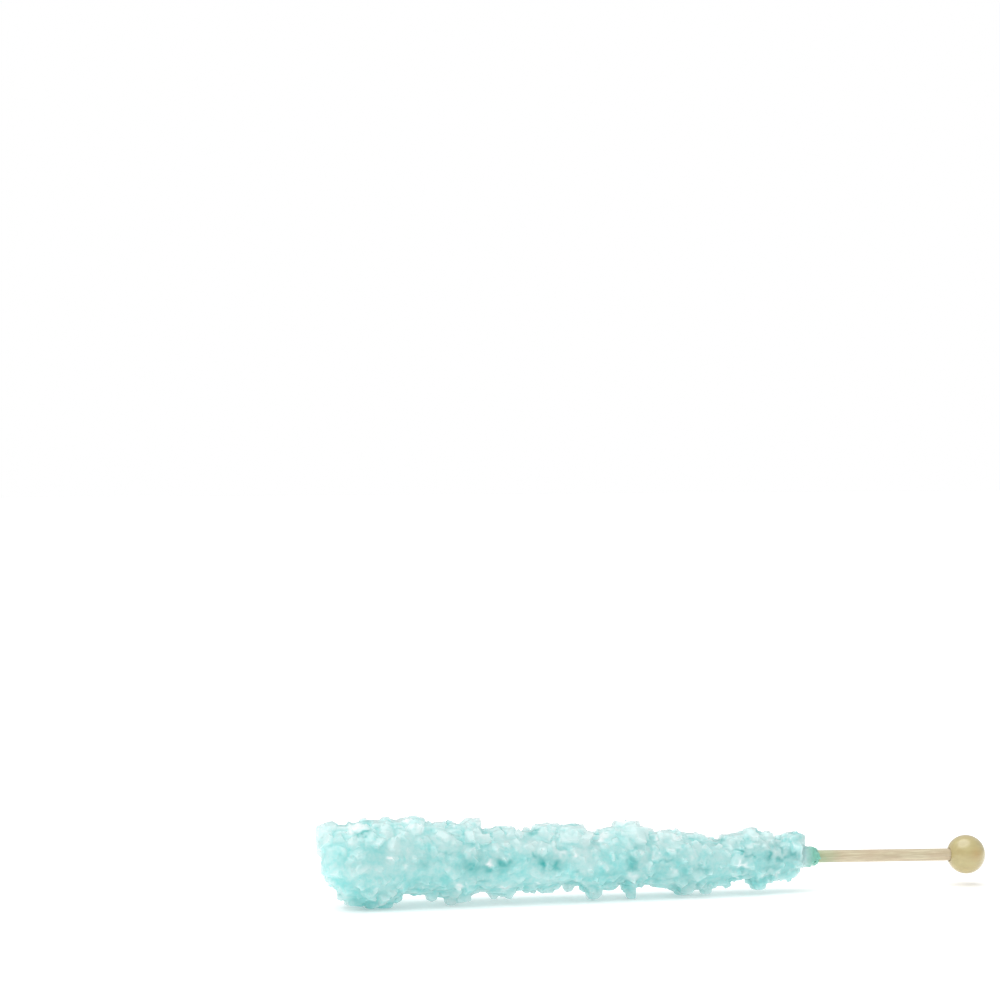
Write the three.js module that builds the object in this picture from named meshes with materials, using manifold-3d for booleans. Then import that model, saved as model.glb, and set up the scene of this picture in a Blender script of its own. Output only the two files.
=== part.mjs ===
// A rock candy stick, lying on its side: sugar crystals grown together round one end of a wooden
// dowel, with a wooden ball on the other end to hold it by.
//
// Frame: millimetres, +Z up. +X runs from the candy's tip to the ball, and -Y is the side shown.
// The origin is on the surface that the stick lies on, under the middle of its bounding box.
import * as THREE from "three";
import { ConvexGeometry } from "three/addons/geometries/ConvexGeometry.js";
import { mergeVertices } from "three/addons/utils/BufferGeometryUtils.js";
import Module from "manifold-3d";

const wasm = await Module();
wasm.setup();

// ---- Driving dimensions ------------------------------------------------------------------------
const OVERALL_LENGTH = 175;
const DOWEL_DIAMETER = 3.2;
const DOWEL_CHAMFER = 0.3;
const BALL_DIAMETER = 10;
const BALL_SOCKET_DEPTH = 5.5; // how far the dowel goes into the ball
const SOCKET_GAP = 0.1; // air round the dowel in the ball and in the candy
const TIP_TO_DOWEL = 9; // candy beyond the dowel's hidden end

const CANDY_LENGTH = 126; // from the tip to where the crystals stop, before the collar
const TIP_ROUNDING = 4; // length over which the blunt tip closes
const TIP_TOP = 7; // height over the axis from which the tip's end face slopes back
const TIP_SLANT = 0.3; // how far it slopes back for each mm down
const TIP_SKEW = 0.35; // and for each mm towards the back
const END_ROUNDING = 3.5; // length over which the end next to the bare dowel closes

// The small crystals that hug the dowel beyond that: over what length, how many, their width and
// how much longer they are, and how far they reach from the axis, below and above it.
const COLLAR = { length: 4.4, count: 8, width: [2.8, 3.4], stretch: 1.2, reach: [2.8, 2.4] };

// Two places along the candy that touch the table, from the tip, and the axis's height above it.
const FRONT_FOOT = { station: 14, height: 11.1 };
const BACK_FOOT = { station: 97, height: 9.45 };

// How far the crystals reach from the axis, each row a station from the tip and the reach there.
const REACH_ABOVE = [
  [0, 8.8], [6, 9.4], [12, 10.4], [20, 10.9], [27, 10.3], [32, 9.8], [36, 8.9], [43, 8.2], [53, 7.8],
  [61, 7.9], [67, 7.8], [70.5, 6.2], [75, 8.0], [80, 8.8], [85.5, 7.0], [92, 7.1], [97, 6.3],
  [101.5, 4.9], [107, 6.1], [113, 6.7], [118.5, 4.8], [122, 6.0], [126, 5.4],
];
const REACH_BELOW = [
  [0, 4.5], [4, 6.0], [7, 8.8], [9.5, 10.2], [16, 10.6], [20, 9.3], [24, 7.8], [28, 7.9], [34, 9.0],
  [38, 8.7], [40, 7.2], [44, 7.9], [48, 8.4], [52, 7.4], [58, 7.6], [62.4, 6.0], [66, 6.3],
  [70, 8.2], [74, 7.4], [77, 5.6], [80, 7.0], [83.5, 6.4], [88, 7.5], [94, 8.2], [99, 7.9],
  [104, 7.0], [109.7, 5.3], [113, 6.8], [118, 5.8], [122, 5.7], [124.5, 4.8], [126, 3.8],
];
const REACH_SHOWN = [[0, 8.2], [12, 9.8], [36, 9.4], [60, 8.8], [92, 7.8], [110, 6.8], [126, 5.0]];
const REACH_BEHIND = [[0, 8.4], [14, 9.6], [40, 9.2], [64, 8.4], [92, 7.6], [112, 6.4], [126, 5.2]];

const SEED = 20;
const GOLDEN_ANGLE = Math.PI * (3 - Math.sqrt(5));

// The crystals in sizes, largest first: how many, their width and length, how far their corners
// stand in from the reach, and how far they lean from straight out.
const SIZES = [
  { count: 80, width: [4.2, 6.2], length: [7.0, 8.5], inset: [0.0, 0.8], lean: 0.45 },
  { count: 96, width: [3.0, 4.4], length: [6.0, 7.0], inset: [0.2, 1.0], lean: 0.6 },
  { count: 40, width: [2.2, 3.2], length: [5.0, 6.0], inset: [0.2, 1.0], lean: 0.7 },
];
const THIN_END_SCALE = 0.75; // the candy grows thinner towards the ball, its crystals smaller

// What their forms range over: the thickness as a share of the width, how far the end's ridge is
// off the middle as a share of each, and its slopes to the gentle and to the steep side.
const FORMS = {
  thickness: [0.62, 0.95],
  offMiddle: [-0.25, 0.25],
  gentle: [0.2, 0.7],
  steep: [0.4, 1.0],
};

// Crystals that stand proud of the rest, along the top and the bottom of the shown side: station,
// degrees round the axis, reach from the axis, width along the stick and of the flat crest, and
// slope from the crest towards the tip and towards the ball.
const PROUD = [
  [2.7, 92, 10.3, 4.6, 2.2, 0.6, 0.5],
  [12.6, 84, 10.7, 6.2, 4.2, 0.3, 0.1],
  [17.1, 98, 11.6, 2.0, 0.5, 0.75, 0.5],
  [23.9, 86, 11.8, 4.6, 3.2, 0.25, 0.9],
  [29.2, 96, 10.4, 5.0, 3.8, 0.1, 0.3],
  [34.3, 84, 10.2, 2.0, 0.5, 0.5, 0.9],
  [38.7, 94, 11.1, 4.2, 2.0, 0.9, 0.6],
  [45.5, 100, 9.3, 2.8, 0.8, 0.8, 0.75],
  [48.6, 84, 9.05, 2.0, 0.5, 0.8, 0.6],
  [58.3, 92, 9.7, 4.2, 2.8, 0.6, 0.3],
  [64.9, 98, 9.5, 5.0, 2.8, 0.5, 0.12],
  [74.2, 84, 8.6, 2.8, 1.2, 0.75, 0.3],
  [79.8, 95, 10.1, 4.6, 2.4, 0.4, 0.75],
  [89.2, 98, 7.6, 5.8, 3.8, 0.25, 0.2],
  [97.0, 84, 6.4, 3.0, 1.8, 0.2, 0.6],
  [106.8, 96, 6.3, 5.0, 3.2, 0.25, 0.1],
  [112.0, 88, 7.8, 2.6, 0.8, 0.4, 0.8],
  [115.7, 98, 7.0, 2.4, 0.8, 0.4, 0.8],
  [123.0, 92, 6.7, 4.6, 2.6, 0.6, 0.25],
  [9.8, -98, 10.6, 3.6, 2.8, 0.5, 0.05],
  [13.6, -104, 11.3, 3.2, 1.2, 0.45, 0.15],
  [14.4, -74, 11.2, 4.4, 2.4, 0.3, 0.3],
  [17.0, -96, 11.1, 3.6, 2.6, 0.1, 0.7],
  [19.9, -106, 10.0, 2.4, 0.7, 0.7, 0.8],
  [25.1, -100, 8.3, 2.0, 0.6, 0.5, 0.9],
  [29.0, -104, 9.7, 2.8, 0.7, 0.6, 1.05],
  [31.8, -94, 8.8, 2.0, 1.0, 0.4, 0.2],
  [34.0, -98, 10.8, 2.4, 0.8, 0.8, 0.6],
  [36.7, -104, 10.2, 3.4, 2.8, 0.15, 0.1],
  [41.4, -100, 7.6, 3.8, 2.4, 0.25, 0.15],
  [44.7, -96, 9.5, 2.2, 0.5, 1.0, 0.9],
  [48.8, -104, 9.4, 2.8, 0.7, 0.5, 1.05],
  [53.6, -96, 8.1, 1.8, 0.5, 0.7, 0.9],
  [57.2, -104, 8.2, 2.2, 0.6, 0.7, 0.65],
  [60.1, -95, 8.0, 1.8, 0.5, 0.8, 0.9],
  [63.9, -102, 7.9, 2.2, 0.7, 1.0, 0.9],
  [68.0, -96, 8.1, 2.2, 0.8, 0.9, 0.3],
  [70.7, -102, 9.9, 3.4, 1.6, 0.95, 0.9],
  [74.2, -96, 7.7, 3.6, 1.2, 0.2, 0.7],
  [80.2, -100, 9.9, 2.4, 1.4, 0.9, 0.35],
  [88.4, -98, 7.4, 4.4, 3.0, 0.4, 0.1],
  [94.2, -102, 9.2, 4.0, 1.8, 0.6, 0.9],
  [94.6, -72, 9.8, 4.0, 2.4, 0.4, 0.4],
  [99.7, -98, 9.1, 2.2, 1.2, 0.7, 0.6],
  [103.6, -104, 7.1, 2.8, 1.8, 0.2, 0.3],
  [113.8, -100, 8.3, 3.0, 1.4, 0.6, 0.6],
  [120.4, -98, 5.8, 4.6, 3.4, 0.25, 0.7],
];
const PROUD_LENGTH = 7.5;
const PROUD_ROUND = 1.25; // width round the axis, as a share of the width along the stick
const PROUD_ROUND_MOST = 4.6;
const PROUD_SPIN = 0.15; // the most that one is turned about its own length
const PROUD_LEAN = 0.12; // and the most that it leans along the stick

// Lower crystals that fill the outline between them, in a row along the top and one along the
// bottom: how far apart, and each one's width, crest, slopes and inset from the reach.
const FILLING = {
  rows: [88, -98], // degrees round the axis
  step: 3.1,
  stray: [-6, 6],
  width: [3.0, 4.2],
  crest: [0.5, 0.8],
  slopes: [0.1, 0.5],
  inset: [-0.1, 0.4],
};

// The core that fills the gaps between the crystals, at a depth inside their reach.
const CORE_DEPTH = 2.4;
const CORE_END = 1.5; // and inside the candy's ends
const CORE_RINGS = 24;
const CORE_SIDES = 12;

// ---- Chance, the same at every run ---------------------------------------------------------------
function mulberry32(seed) {
  let state = seed;
  return () => {
    state = (state + 0x6d2b79f5) | 0;
    let t = Math.imul(state ^ (state >>> 15), 1 | state);
    t = (t + Math.imul(t ^ (t >>> 7), 61 | t)) ^ t;
    return ((t ^ (t >>> 14)) >>> 0) / 4294967296;
  };
}
const random = mulberry32(SEED);
const between = ([low, high]) => low + (high - low) * random();

// ---- Solids and their joins ------------------------------------------------------------------------
function toSolid(geometry) {
  const bare = geometry.clone();
  bare.deleteAttribute("normal");
  bare.deleteAttribute("uv");
  const merged = mergeVertices(bare, 1e-4);
  return new wasm.Manifold(
    new wasm.Mesh({
      numProp: 3,
      vertProperties: new Float32Array(merged.attributes.position.array),
      triVerts: new Uint32Array(merged.index.array),
    }),
  );
}

function toGeometry(solid) {
  const { vertProperties, triVerts } = solid.getMesh();
  const geometry = new THREE.BufferGeometry();
  geometry.setAttribute("position", new THREE.BufferAttribute(vertProperties, 3));
  geometry.setIndex(new THREE.BufferAttribute(triVerts, 1));
  return geometry;
}

// The largest body alone: loose scraps are dropped and sealed hollows filled.
function largestBody(solid) {
  return solid.decompose().reduce((a, b) => (b.volume() > a.volume() ? b : a));
}

// A solid of revolution round the stick's axis, from [station, radius] pairs.
function turned(profile, sides) {
  const points = profile.map(([station, radius]) => new THREE.Vector2(radius, station));
  return new THREE.LatheGeometry(points, sides).rotateZ(-Math.PI / 2);
}

// ---- The reach of the candy ----------------------------------------------------------------------
// The value at a station, eased from one [station, value] row to the next.
function easedAlong(rows, station) {
  const next = rows.findIndex(([place]) => place > station);
  if (next === 0) return rows[0][1];
  if (next < 0) return rows[rows.length - 1][1];
  const [[from, before], [to, after]] = [rows[next - 1], rows[next]];
  const share = (station - from) / (to - from);
  return before + (after - before) * share * share * (3 - 2 * share);
}

// 1 along the candy, falling to 0 at both ends on a rounded corner.
function endShare(station) {
  const fromTip = Math.max(0, 1 - station / TIP_ROUNDING);
  const fromEnd = Math.max(0, 1 - (CANDY_LENGTH - station) / END_ROUNDING);
  return Math.cbrt(Math.max(0, 1 - Math.max(fromTip, fromEnd) ** 3));
}

function reachAt(station, angle) {
  const [behind, above] = [Math.cos(angle), Math.sin(angle)];
  const upright = above ** 2 * easedAlong(above > 0 ? REACH_ABOVE : REACH_BELOW, station);
  const sideways = behind ** 2 * easedAlong(behind > 0 ? REACH_BEHIND : REACH_SHOWN, station);
  return (upright + sideways) * endShare(station);
}

// The mean reach round the axis at a station.
const QUARTERS = [0, 1, 2, 3].map((quarter) => (quarter * Math.PI) / 2);
const reachesRound = (station) => QUARTERS.map((angle) => reachAt(station, angle));
const meanReach = (station) => reachesRound(station).reduce((sum, reach) => sum + reach, 0) / 4;

// ---- Where the crystals stand ------------------------------------------------------------------------
// Rows of { station, area }, from the tip to the end, with the candy's skin area up to each.
const SKIN_STEPS = 400;
function skinTable() {
  // Steps are finest at both ends, where the skin turns in towards the axis.
  const stationOf = (step) => (CANDY_LENGTH * (1 - Math.cos((Math.PI * step) / SKIN_STEPS))) / 2;
  const rows = [{ station: 0, area: 0 }];
  for (let step = 1; step <= SKIN_STEPS; step++) {
    const [from, to] = [stationOf(step - 1), stationOf(step)];
    const [inner, outer] = [meanReach(from), meanReach(to)];
    const slant = Math.hypot(to - from, outer - inner);
    const area = rows[step - 1].area + Math.PI * (inner + outer) * slant;
    rows.push({ station: to, area });
  }
  return rows;
}
const SKIN = skinTable();

// Spreads sites evenly over the skin: equal areas along it, the golden angle round it.
function siteAt(index, count, turn) {
  const wanted = ((index + 0.5) / count) * SKIN[SKIN_STEPS].area;
  const after = SKIN.findIndex((row) => row.area >= wanted);
  const [low, high] = [SKIN[after - 1], SKIN[after]];
  const share = (wanted - low.area) / (high.area - low.area);
  const station = low.station + (high.station - low.station) * share;
  return { station, angle: turn + index * GOLDEN_ANGLE };
}

const radial = (angle) => new THREE.Vector3(0, Math.cos(angle), Math.sin(angle));

// The skin's point and outward direction at a site.
function skinAt({ station, angle }) {
  const step = 0.05;
  const [before, after] = [Math.max(0, station - step), Math.min(CANDY_LENGTH, station + step)];
  const rise = (reachAt(after, angle) - reachAt(before, angle)) / (after - before);
  const point = radial(angle).multiplyScalar(reachAt(station, angle));
  point.x = station;
  const outward = radial(angle);
  outward.x = -rise;
  return { point, outward: outward.normalize() };
}

// ---- A crystal ---------------------------------------------------------------------------------------
// Sugar grows as a leaning prism with a wedge-shaped end. Its faces are planes, and its corners are
// where three planes meet inside all the others. It stands along +Z, its inner end plain.
const PRISM_ANGLE = THREE.MathUtils.degToRad(103);
const ALONG_CRYSTAL = new THREE.Vector3(0, 0, 1);
const ALONG_STICK = new THREE.Vector3(1, 0, 0);

function planeThrough(point, normal) {
  return { normal, distance: normal.dot(point) };
}

// A crystal's form: its thickness, width and length, where its end's ridge is and the width of the
// flat crest there, the side that the ridge runs along, and how steeply its end slopes to each side.
function chanceForm(width, length) {
  const thickness = width * between(FORMS.thickness);
  return {
    thickness,
    width,
    length,
    ridge: [thickness * between(FORMS.offMiddle), width * between(FORMS.offMiddle)],
    crest: 0,
    ridgeTurn: PRISM_ANGLE * (random() < 0.5 ? 0 : 1),
    slopes: [between(FORMS.gentle), between(FORMS.steep)],
  };
}

function crystalPlanes({ thickness, width, length, ridge, crest, ridgeTurn, slopes }) {
  const planes = [];
  for (const side of [0, Math.PI]) {
    for (const [turn, size] of [[0, thickness], [PRISM_ANGLE, width]]) {
      const normal = new THREE.Vector3(Math.cos(turn + side), Math.sin(turn + side), 0);
      planes.push({ normal, distance: size / 2 });
    }
  }
  const top = new THREE.Vector3(...ridge, length / 2);
  slopes.forEach((slope, index) => {
    const turn = ridgeTurn + index * Math.PI;
    const aside = new THREE.Vector3(Math.cos(turn), Math.sin(turn), 0);
    const normal = aside.clone().multiplyScalar(Math.sin(slope)).setZ(Math.cos(slope));
    planes.push(planeThrough(top.clone().addScaledVector(aside, crest / 2), normal));
  });
  if (crest > 0) planes.push({ normal: new THREE.Vector3(0, 0, 1), distance: length / 2 });
  planes.push({ normal: new THREE.Vector3(0, 0, -1), distance: length / 2 });
  return planes;
}

function cornersOf(planes) {
  const corners = [];
  for (let i = 0; i < planes.length; i++) {
    for (let j = i + 1; j < planes.length; j++) {
      for (let k = j + 1; k < planes.length; k++) {
        const [a, b, c] = [planes[i], planes[j], planes[k]];
        const bc = b.normal.clone().cross(c.normal);
        const volume = a.normal.dot(bc);
        if (Math.abs(volume) < 1e-6) continue;
        const corner = bc.multiplyScalar(a.distance);
        corner.addScaledVector(c.normal.clone().cross(a.normal), b.distance);
        corner.addScaledVector(a.normal.clone().cross(b.normal), c.distance);
        corner.divideScalar(volume);
        if (planes.every((p) => p.normal.dot(corner) < p.distance + 1e-6)) corners.push(corner);
      }
    }
  }
  return corners;
}

// Moves a crystal's corners along the outward direction, until the furthest is at the distance.
function pushedOut(corners, outward, distance) {
  const furthest = Math.max(...corners.map((corner) => corner.dot(outward)));
  const shift = outward.clone().multiplyScalar(distance - furthest);
  return corners.map((corner) => corner.clone().add(shift));
}

const movedAlong = (corners, station) =>
  corners.map((corner) => corner.clone().setX(corner.x + station));

// Moves a crystal's corners along the stick, as far as clears the tip's slanted end face.
function clearOfTip(corners) {
  const endFace = ({ y, z }) => TIP_SKEW * y + TIP_SLANT * Math.max(0, TIP_TOP - z);
  return movedAlong(corners, Math.max(0, ...corners.map((corner) => endFace(corner) - corner.x)));
}

const crystalFrom = (corners) => toSolid(new ConvexGeometry(corners));

// Stands a crystal on the skin, its furthest corner inset from the skin's reach.
function standingCrystal(site, { width, length, inset, lean }) {
  const { point, outward } = skinAt(site);
  const stray = new THREE.Vector3(random() - 0.5, random() - 0.5, random() - 0.5);
  const growth = outward.clone().addScaledVector(stray, 2 * lean).normalize();
  const turn = new THREE.Quaternion().setFromAxisAngle(ALONG_CRYSTAL, 2 * Math.PI * random());
  turn.premultiply(new THREE.Quaternion().setFromUnitVectors(ALONG_CRYSTAL, growth));
  const corners = cornersOf(crystalPlanes(chanceForm(width, length)));
  corners.forEach((corner) => corner.applyQuaternion(turn));
  const distance = point.dot(outward);
  const aside = point.clone().addScaledVector(outward, -distance);
  const placed = pushedOut(corners, outward, distance - inset).map((corner) => corner.add(aside));
  return crystalFrom(clearOfTip(placed));
}

// The corners of a crystal that stands straight out, as a row of PROUD says.
function proudCorners([station, degrees, reach, width, crest, tipSlope, ballSlope], index) {
  const outward = radial(THREE.MathUtils.degToRad(degrees));
  const lean = PROUD_LEAN * Math.cos((index + 1) * GOLDEN_ANGLE);
  const growth = outward.clone().addScaledVector(ALONG_STICK, lean).normalize();
  const across = growth.clone().cross(ALONG_STICK).normalize();
  const turn = new THREE.Matrix4().makeBasis(across.clone().cross(growth), across, growth);
  const spin = PROUD_SPIN * Math.sin((index + 1) * GOLDEN_ANGLE);
  turn.multiply(new THREE.Matrix4().makeRotationZ(spin));
  const form = {
    thickness: width,
    width: Math.min(PROUD_ROUND * width, PROUD_ROUND_MOST),
    length: PROUD_LENGTH,
    ridge: [0, 0],
    crest,
    ridgeTurn: 0,
    slopes: [ballSlope, tipSlope],
  };
  const corners = cornersOf(crystalPlanes(form));
  corners.forEach((corner) => corner.applyMatrix4(turn));
  return movedAlong(pushedOut(corners, outward, reach), station);
}

// ---- The candy ---------------------------------------------------------------------------------------
function candyCore() {
  const last = CANDY_LENGTH - CORE_END;
  const stations = Array.from({ length: CORE_RINGS + 1 }, (_, ring) =>
    THREE.MathUtils.lerp(CORE_END, last, ring / CORE_RINGS),
  );
  const profile = [[CORE_END, 0], ...stations.map((station) => [station, 1]), [last, 0]];
  const core = turned(profile, CORE_SIDES);
  const places = core.attributes.position;
  for (let index = 0; index < places.count; index++) {
    const point = new THREE.Vector3().fromBufferAttribute(places, index);
    if (Math.hypot(point.y, point.z) < 0.5) continue; // the middle of an end
    const angle = Math.atan2(point.z, point.y);
    const side = radial(angle).multiplyScalar(reachAt(point.x, angle) - CORE_DEPTH);
    places.setXYZ(index, point.x, side.y, side.z);
  }
  return toSolid(core);
}

function scatteredCrystals() {
  return SIZES.flatMap(({ count, width, length, inset, lean }) => {
    const turn = 2 * Math.PI * random();
    return Array.from({ length: count }, (_, index) => {
      const site = siteAt(index, count, turn);
      const scale = THREE.MathUtils.lerp(1, THIN_END_SCALE, site.station / CANDY_LENGTH);
      return standingCrystal(site, {
        width: between(width) * scale,
        length: between(length) * scale,
        inset: between(inset),
        lean,
      });
    });
  });
}

function fillingCrystals() {
  const { rows, step, stray, width, crest, slopes, inset } = FILLING;
  const count = Math.floor(CANDY_LENGTH / step) - 1;
  return rows.flatMap((degrees, row) =>
    Array.from({ length: count }, (_, index) => {
      const station = (index + 1 + row / rows.length) * step;
      const place = degrees + between(stray);
      const reach = reachAt(station, THREE.MathUtils.degToRad(place)) - between(inset);
      const along = between(width);
      const form = [along, along * between(crest), between(slopes), between(slopes)];
      return crystalFrom(clearOfTip(proudCorners([station, place, reach, ...form], index)));
    }),
  );
}

// A small lump of crystals that hugs the dowel where it leaves the candy.
function collarCrystals() {
  return Array.from({ length: COLLAR.count }, (_, index) => {
    const angle = index * GOLDEN_ANGLE;
    const size = between(COLLAR.width);
    const reach = THREE.MathUtils.lerp(...COLLAR.reach, (1 + Math.sin(angle)) / 2);
    const station = CANDY_LENGTH + between([0, COLLAR.length - size / 2]);
    const turn = new THREE.Euler(2 * Math.PI * random(), 2 * Math.PI * random(), 0);
    const corners = cornersOf(crystalPlanes(chanceForm(size, size * COLLAR.stretch)));
    corners.forEach((corner) => corner.applyEuler(turn));
    return crystalFrom(movedAlong(pushedOut(corners, radial(angle), reach), station));
  });
}

// ---- The wood ----------------------------------------------------------------------------------------
const BALL_CENTRE = OVERALL_LENGTH - BALL_DIAMETER / 2;
const BALL_RADIUS = BALL_DIAMETER / 2;
const DOWEL_RADIUS = DOWEL_DIAMETER / 2;
const SOCKET_RADIUS = DOWEL_RADIUS + SOCKET_GAP;
const BALL_NEAR_SIDE = BALL_CENTRE - BALL_RADIUS;
const DOWEL_END = BALL_NEAR_SIDE + BALL_SOCKET_DEPTH;
const ROUND_SIDES = 28;

function dowelGeometry() {
  const inner = DOWEL_RADIUS - DOWEL_CHAMFER;
  const profile = [
    [TIP_TO_DOWEL, 0],
    [TIP_TO_DOWEL, inner],
    [TIP_TO_DOWEL + DOWEL_CHAMFER, DOWEL_RADIUS],
    [DOWEL_END - DOWEL_CHAMFER, DOWEL_RADIUS],
    [DOWEL_END, inner],
    [DOWEL_END, 0],
  ];
  return turned(profile, ROUND_SIDES);
}

function socketSolid(from, to) {
  return toSolid(turned([[from, 0], [from, SOCKET_RADIUS], [to, SOCKET_RADIUS], [to, 0]], ROUND_SIDES));
}

function ballSolid() {
  const rings = 20;
  const profile = Array.from({ length: rings + 1 }, (_, ring) => {
    const angle = (Math.PI * ring) / rings;
    return [BALL_CENTRE - BALL_RADIUS * Math.cos(angle), BALL_RADIUS * Math.sin(angle)];
  });
  profile[0][1] = 0;
  profile[rings][1] = 0;
  const socket = socketSolid(BALL_NEAR_SIDE - 1, DOWEL_END + SOCKET_GAP);
  return toSolid(turned(profile, ROUND_SIDES)).subtract(socket);
}

// ---- Lying down --------------------------------------------------------------------------------------
// The candy is heavier than the wood, so the stick lies on its candy and the ball is in the air.
const slope = Math.atan(
  (FRONT_FOOT.height - BACK_FOOT.height) / (BACK_FOOT.station - FRONT_FOOT.station),
);
const lying = new THREE.Group();
lying.rotation.y = slope;
lying.position.z = FRONT_FOOT.height / Math.cos(slope) + FRONT_FOOT.station * Math.tan(slope);
lying.updateMatrix();

// Everything below the table top, in the stick's own frame.
function belowTable() {
  const depth = 20;
  const slab = new THREE.BoxGeometry(3 * OVERALL_LENGTH, 100, depth).translate(0, 0, -depth / 2);
  return toSolid(slab.applyMatrix4(lying.matrix.clone().invert()));
}

const candySocket = socketSolid(TIP_TO_DOWEL - SOCKET_GAP, OVERALL_LENGTH);
const crystals = [
  candyCore(),
  ...scatteredCrystals(),
  ...PROUD.map((row, index) => crystalFrom(proudCorners(row, index))),
  ...fillingCrystals(),
  ...collarCrystals(),
];
const NEEDLESS_DETAIL = 0.02; // triangles that only bend a face by less than this are joined
const candy = largestBody(
  wasm.Manifold.union(crystals)
    .subtract(candySocket)
    .subtract(belowTable())
    .asOriginal()
    .simplify(NEEDLESS_DETAIL),
);
const ball = ballSolid();

// ---- The parts ---------------------------------------------------------------------------------------
const sugar = new THREE.MeshStandardMaterial({ color: 0xb9e4e3, roughness: 0.15 });
const birch = new THREE.MeshStandardMaterial({ color: 0xdccfa9, roughness: 0.65 });

function part(name, geometry, material) {
  const mesh = new THREE.Mesh(geometry, material);
  mesh.name = name;
  return mesh;
}
lying.add(
  part("rock_candy", toGeometry(candy), sugar),
  part("dowel", dowelGeometry(), birch),
  part("ball", toGeometry(ball), birch),
);

const stick = new THREE.Group();
stick.add(lying);
const bounds = new THREE.Box3().setFromObject(stick, true);
lying.position.x = -(bounds.min.x + bounds.max.x) / 2;
lying.position.y = -(bounds.min.y + bounds.max.y) / 2;

export default stick;
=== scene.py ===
# A rock candy stick lying on a pale table: sugar crystals grown round a birch dowel, and a birch
# ball to hold it by. Metres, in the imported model's frame: +X from the candy's tip to the ball,
# +Z up, and -Y the side shown. Crystals are worked out in millimetres along the stick's own axis
# and laid in place at the end.
import math

import bmesh
import bpy
import numpy as np
from mathutils import Matrix, Quaternion, Vector, noise
from mathutils.bvhtree import BVHTree


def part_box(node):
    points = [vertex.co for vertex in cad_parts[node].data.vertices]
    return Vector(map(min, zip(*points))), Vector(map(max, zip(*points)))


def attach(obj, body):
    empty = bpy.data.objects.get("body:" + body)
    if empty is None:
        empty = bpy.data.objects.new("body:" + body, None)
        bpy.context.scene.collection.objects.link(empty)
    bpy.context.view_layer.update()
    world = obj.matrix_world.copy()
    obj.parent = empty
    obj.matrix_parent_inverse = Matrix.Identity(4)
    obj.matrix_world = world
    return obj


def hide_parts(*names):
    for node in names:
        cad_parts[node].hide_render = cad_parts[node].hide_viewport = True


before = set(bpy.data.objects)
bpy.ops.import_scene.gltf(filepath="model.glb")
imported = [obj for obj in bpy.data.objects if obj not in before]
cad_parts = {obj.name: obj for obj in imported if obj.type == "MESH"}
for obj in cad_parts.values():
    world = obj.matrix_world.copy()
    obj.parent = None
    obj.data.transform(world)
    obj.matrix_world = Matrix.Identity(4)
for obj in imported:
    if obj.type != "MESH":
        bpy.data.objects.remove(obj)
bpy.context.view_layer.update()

MM = 0.001

# ---- The stick ----------------------------------------------------------------------------------
OVERALL_LENGTH = 175
DOWEL_RADIUS = 1.6
BALL_RADIUS = 5
SOCKET_GAP = 0.1  # air round the dowel in the candy and in the ball
SOCKET_DEPTH = 5.5  # how far the dowel goes into the ball
TIP_TO_DOWEL = 9  # candy beyond the dowel's hidden end
BALL_CENTRE = OVERALL_LENGTH - BALL_RADIUS
DOWEL_END = BALL_CENTRE - BALL_RADIUS + SOCKET_DEPTH
HOLE_RADIUS = DOWEL_RADIUS + SOCKET_GAP

CANDY_LENGTH = 126
TIP_ROUNDING = 4  # length over which the blunt tip closes
TIP_TOP = 7  # height over the axis from which the tip's end face slopes back
TIP_SLANT = 0.3  # how far it slopes back for each mm down
TIP_SKEW = 0.35  # and for each mm towards the back
TIP_STRETCH = 20  # the core is sheared over this length to follow that face
END_ROUNDING = 3.5
END_BOTTOM = 2.3  # depth under the axis from which the other end slopes back
END_SLANT = 0.8  # and how far for each mm down
END_MIDDLE = 1.5  # distance either side of the axis from which it slopes back too
END_SIDES = 0.5  # and how far for each mm further aside

# The small crystals that hug the dowel beyond the candy, grown on a lump of sugar: over what
# length, how many, their width and how much longer they are, their reach, and how much of it is
# left at the far end.
COLLAR = {"length": 4.4, "count": 34, "width": (1.4, 2.4), "stretch": 1.2, "reach": 3.2,
          "left": 0.62}
COLLAR_STRAY = (-0.35, 0.35)  # how far one is off that reach, beside the candy
COLLAR_THINS = 0.5  # how much smaller they are at the far end
COLLAR_DEPTH = 0.35  # how far the lump is inside their reach
COLLAR_RINGS = 8
COLLAR_SEED = 17

FRONT_FOOT = {"station": 14, "height": 11.1}  # places that touch the table, and the axis's height
BACK_FOOT = {"station": 97, "height": 9.45}

# How far the crystals reach from the axis, each row a station from the tip and the reach there.
REACH_ABOVE = [
    (0, 8.8), (6, 9.4), (12, 10.4), (20, 10.9), (27, 10.3), (32, 9.8), (36, 8.9), (43, 8.2),
    (53, 7.8), (61, 7.9), (67, 7.8), (70.5, 6.2), (75, 8.0), (80, 8.8), (85.5, 7.0), (92, 7.1),
    (97, 6.3), (101.5, 4.9), (107, 6.1), (113, 6.7), (118.5, 4.8), (122, 6.0), (126, 5.4),
]
REACH_BELOW = [
    (0, 4.5), (4, 6.0), (7, 8.8), (9.5, 10.2), (16, 10.6), (20, 9.3), (24, 7.8), (28, 7.9),
    (34, 9.0), (38, 8.7), (40, 7.2), (44, 7.9), (48, 8.4), (52, 7.4), (58, 7.6), (62.4, 6.0),
    (66, 6.3), (70, 8.2), (74, 7.4), (77, 5.6), (80, 7.0), (83.5, 6.4), (88, 7.5), (94, 8.2),
    (99, 7.9), (104, 7.0), (109.7, 5.3), (113, 6.8), (118, 5.8), (122, 5.7), (124.5, 4.8),
    (126, 3.8),
]
REACH_SHOWN = [(0, 8.2), (12, 9.8), (36, 9.4), (60, 8.8), (92, 7.8), (110, 6.8), (126, 5.0)]
REACH_BEHIND = [(0, 8.4), (14, 9.6), (40, 9.2), (64, 8.4), (92, 7.6), (112, 6.4), (126, 5.2)]

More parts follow.
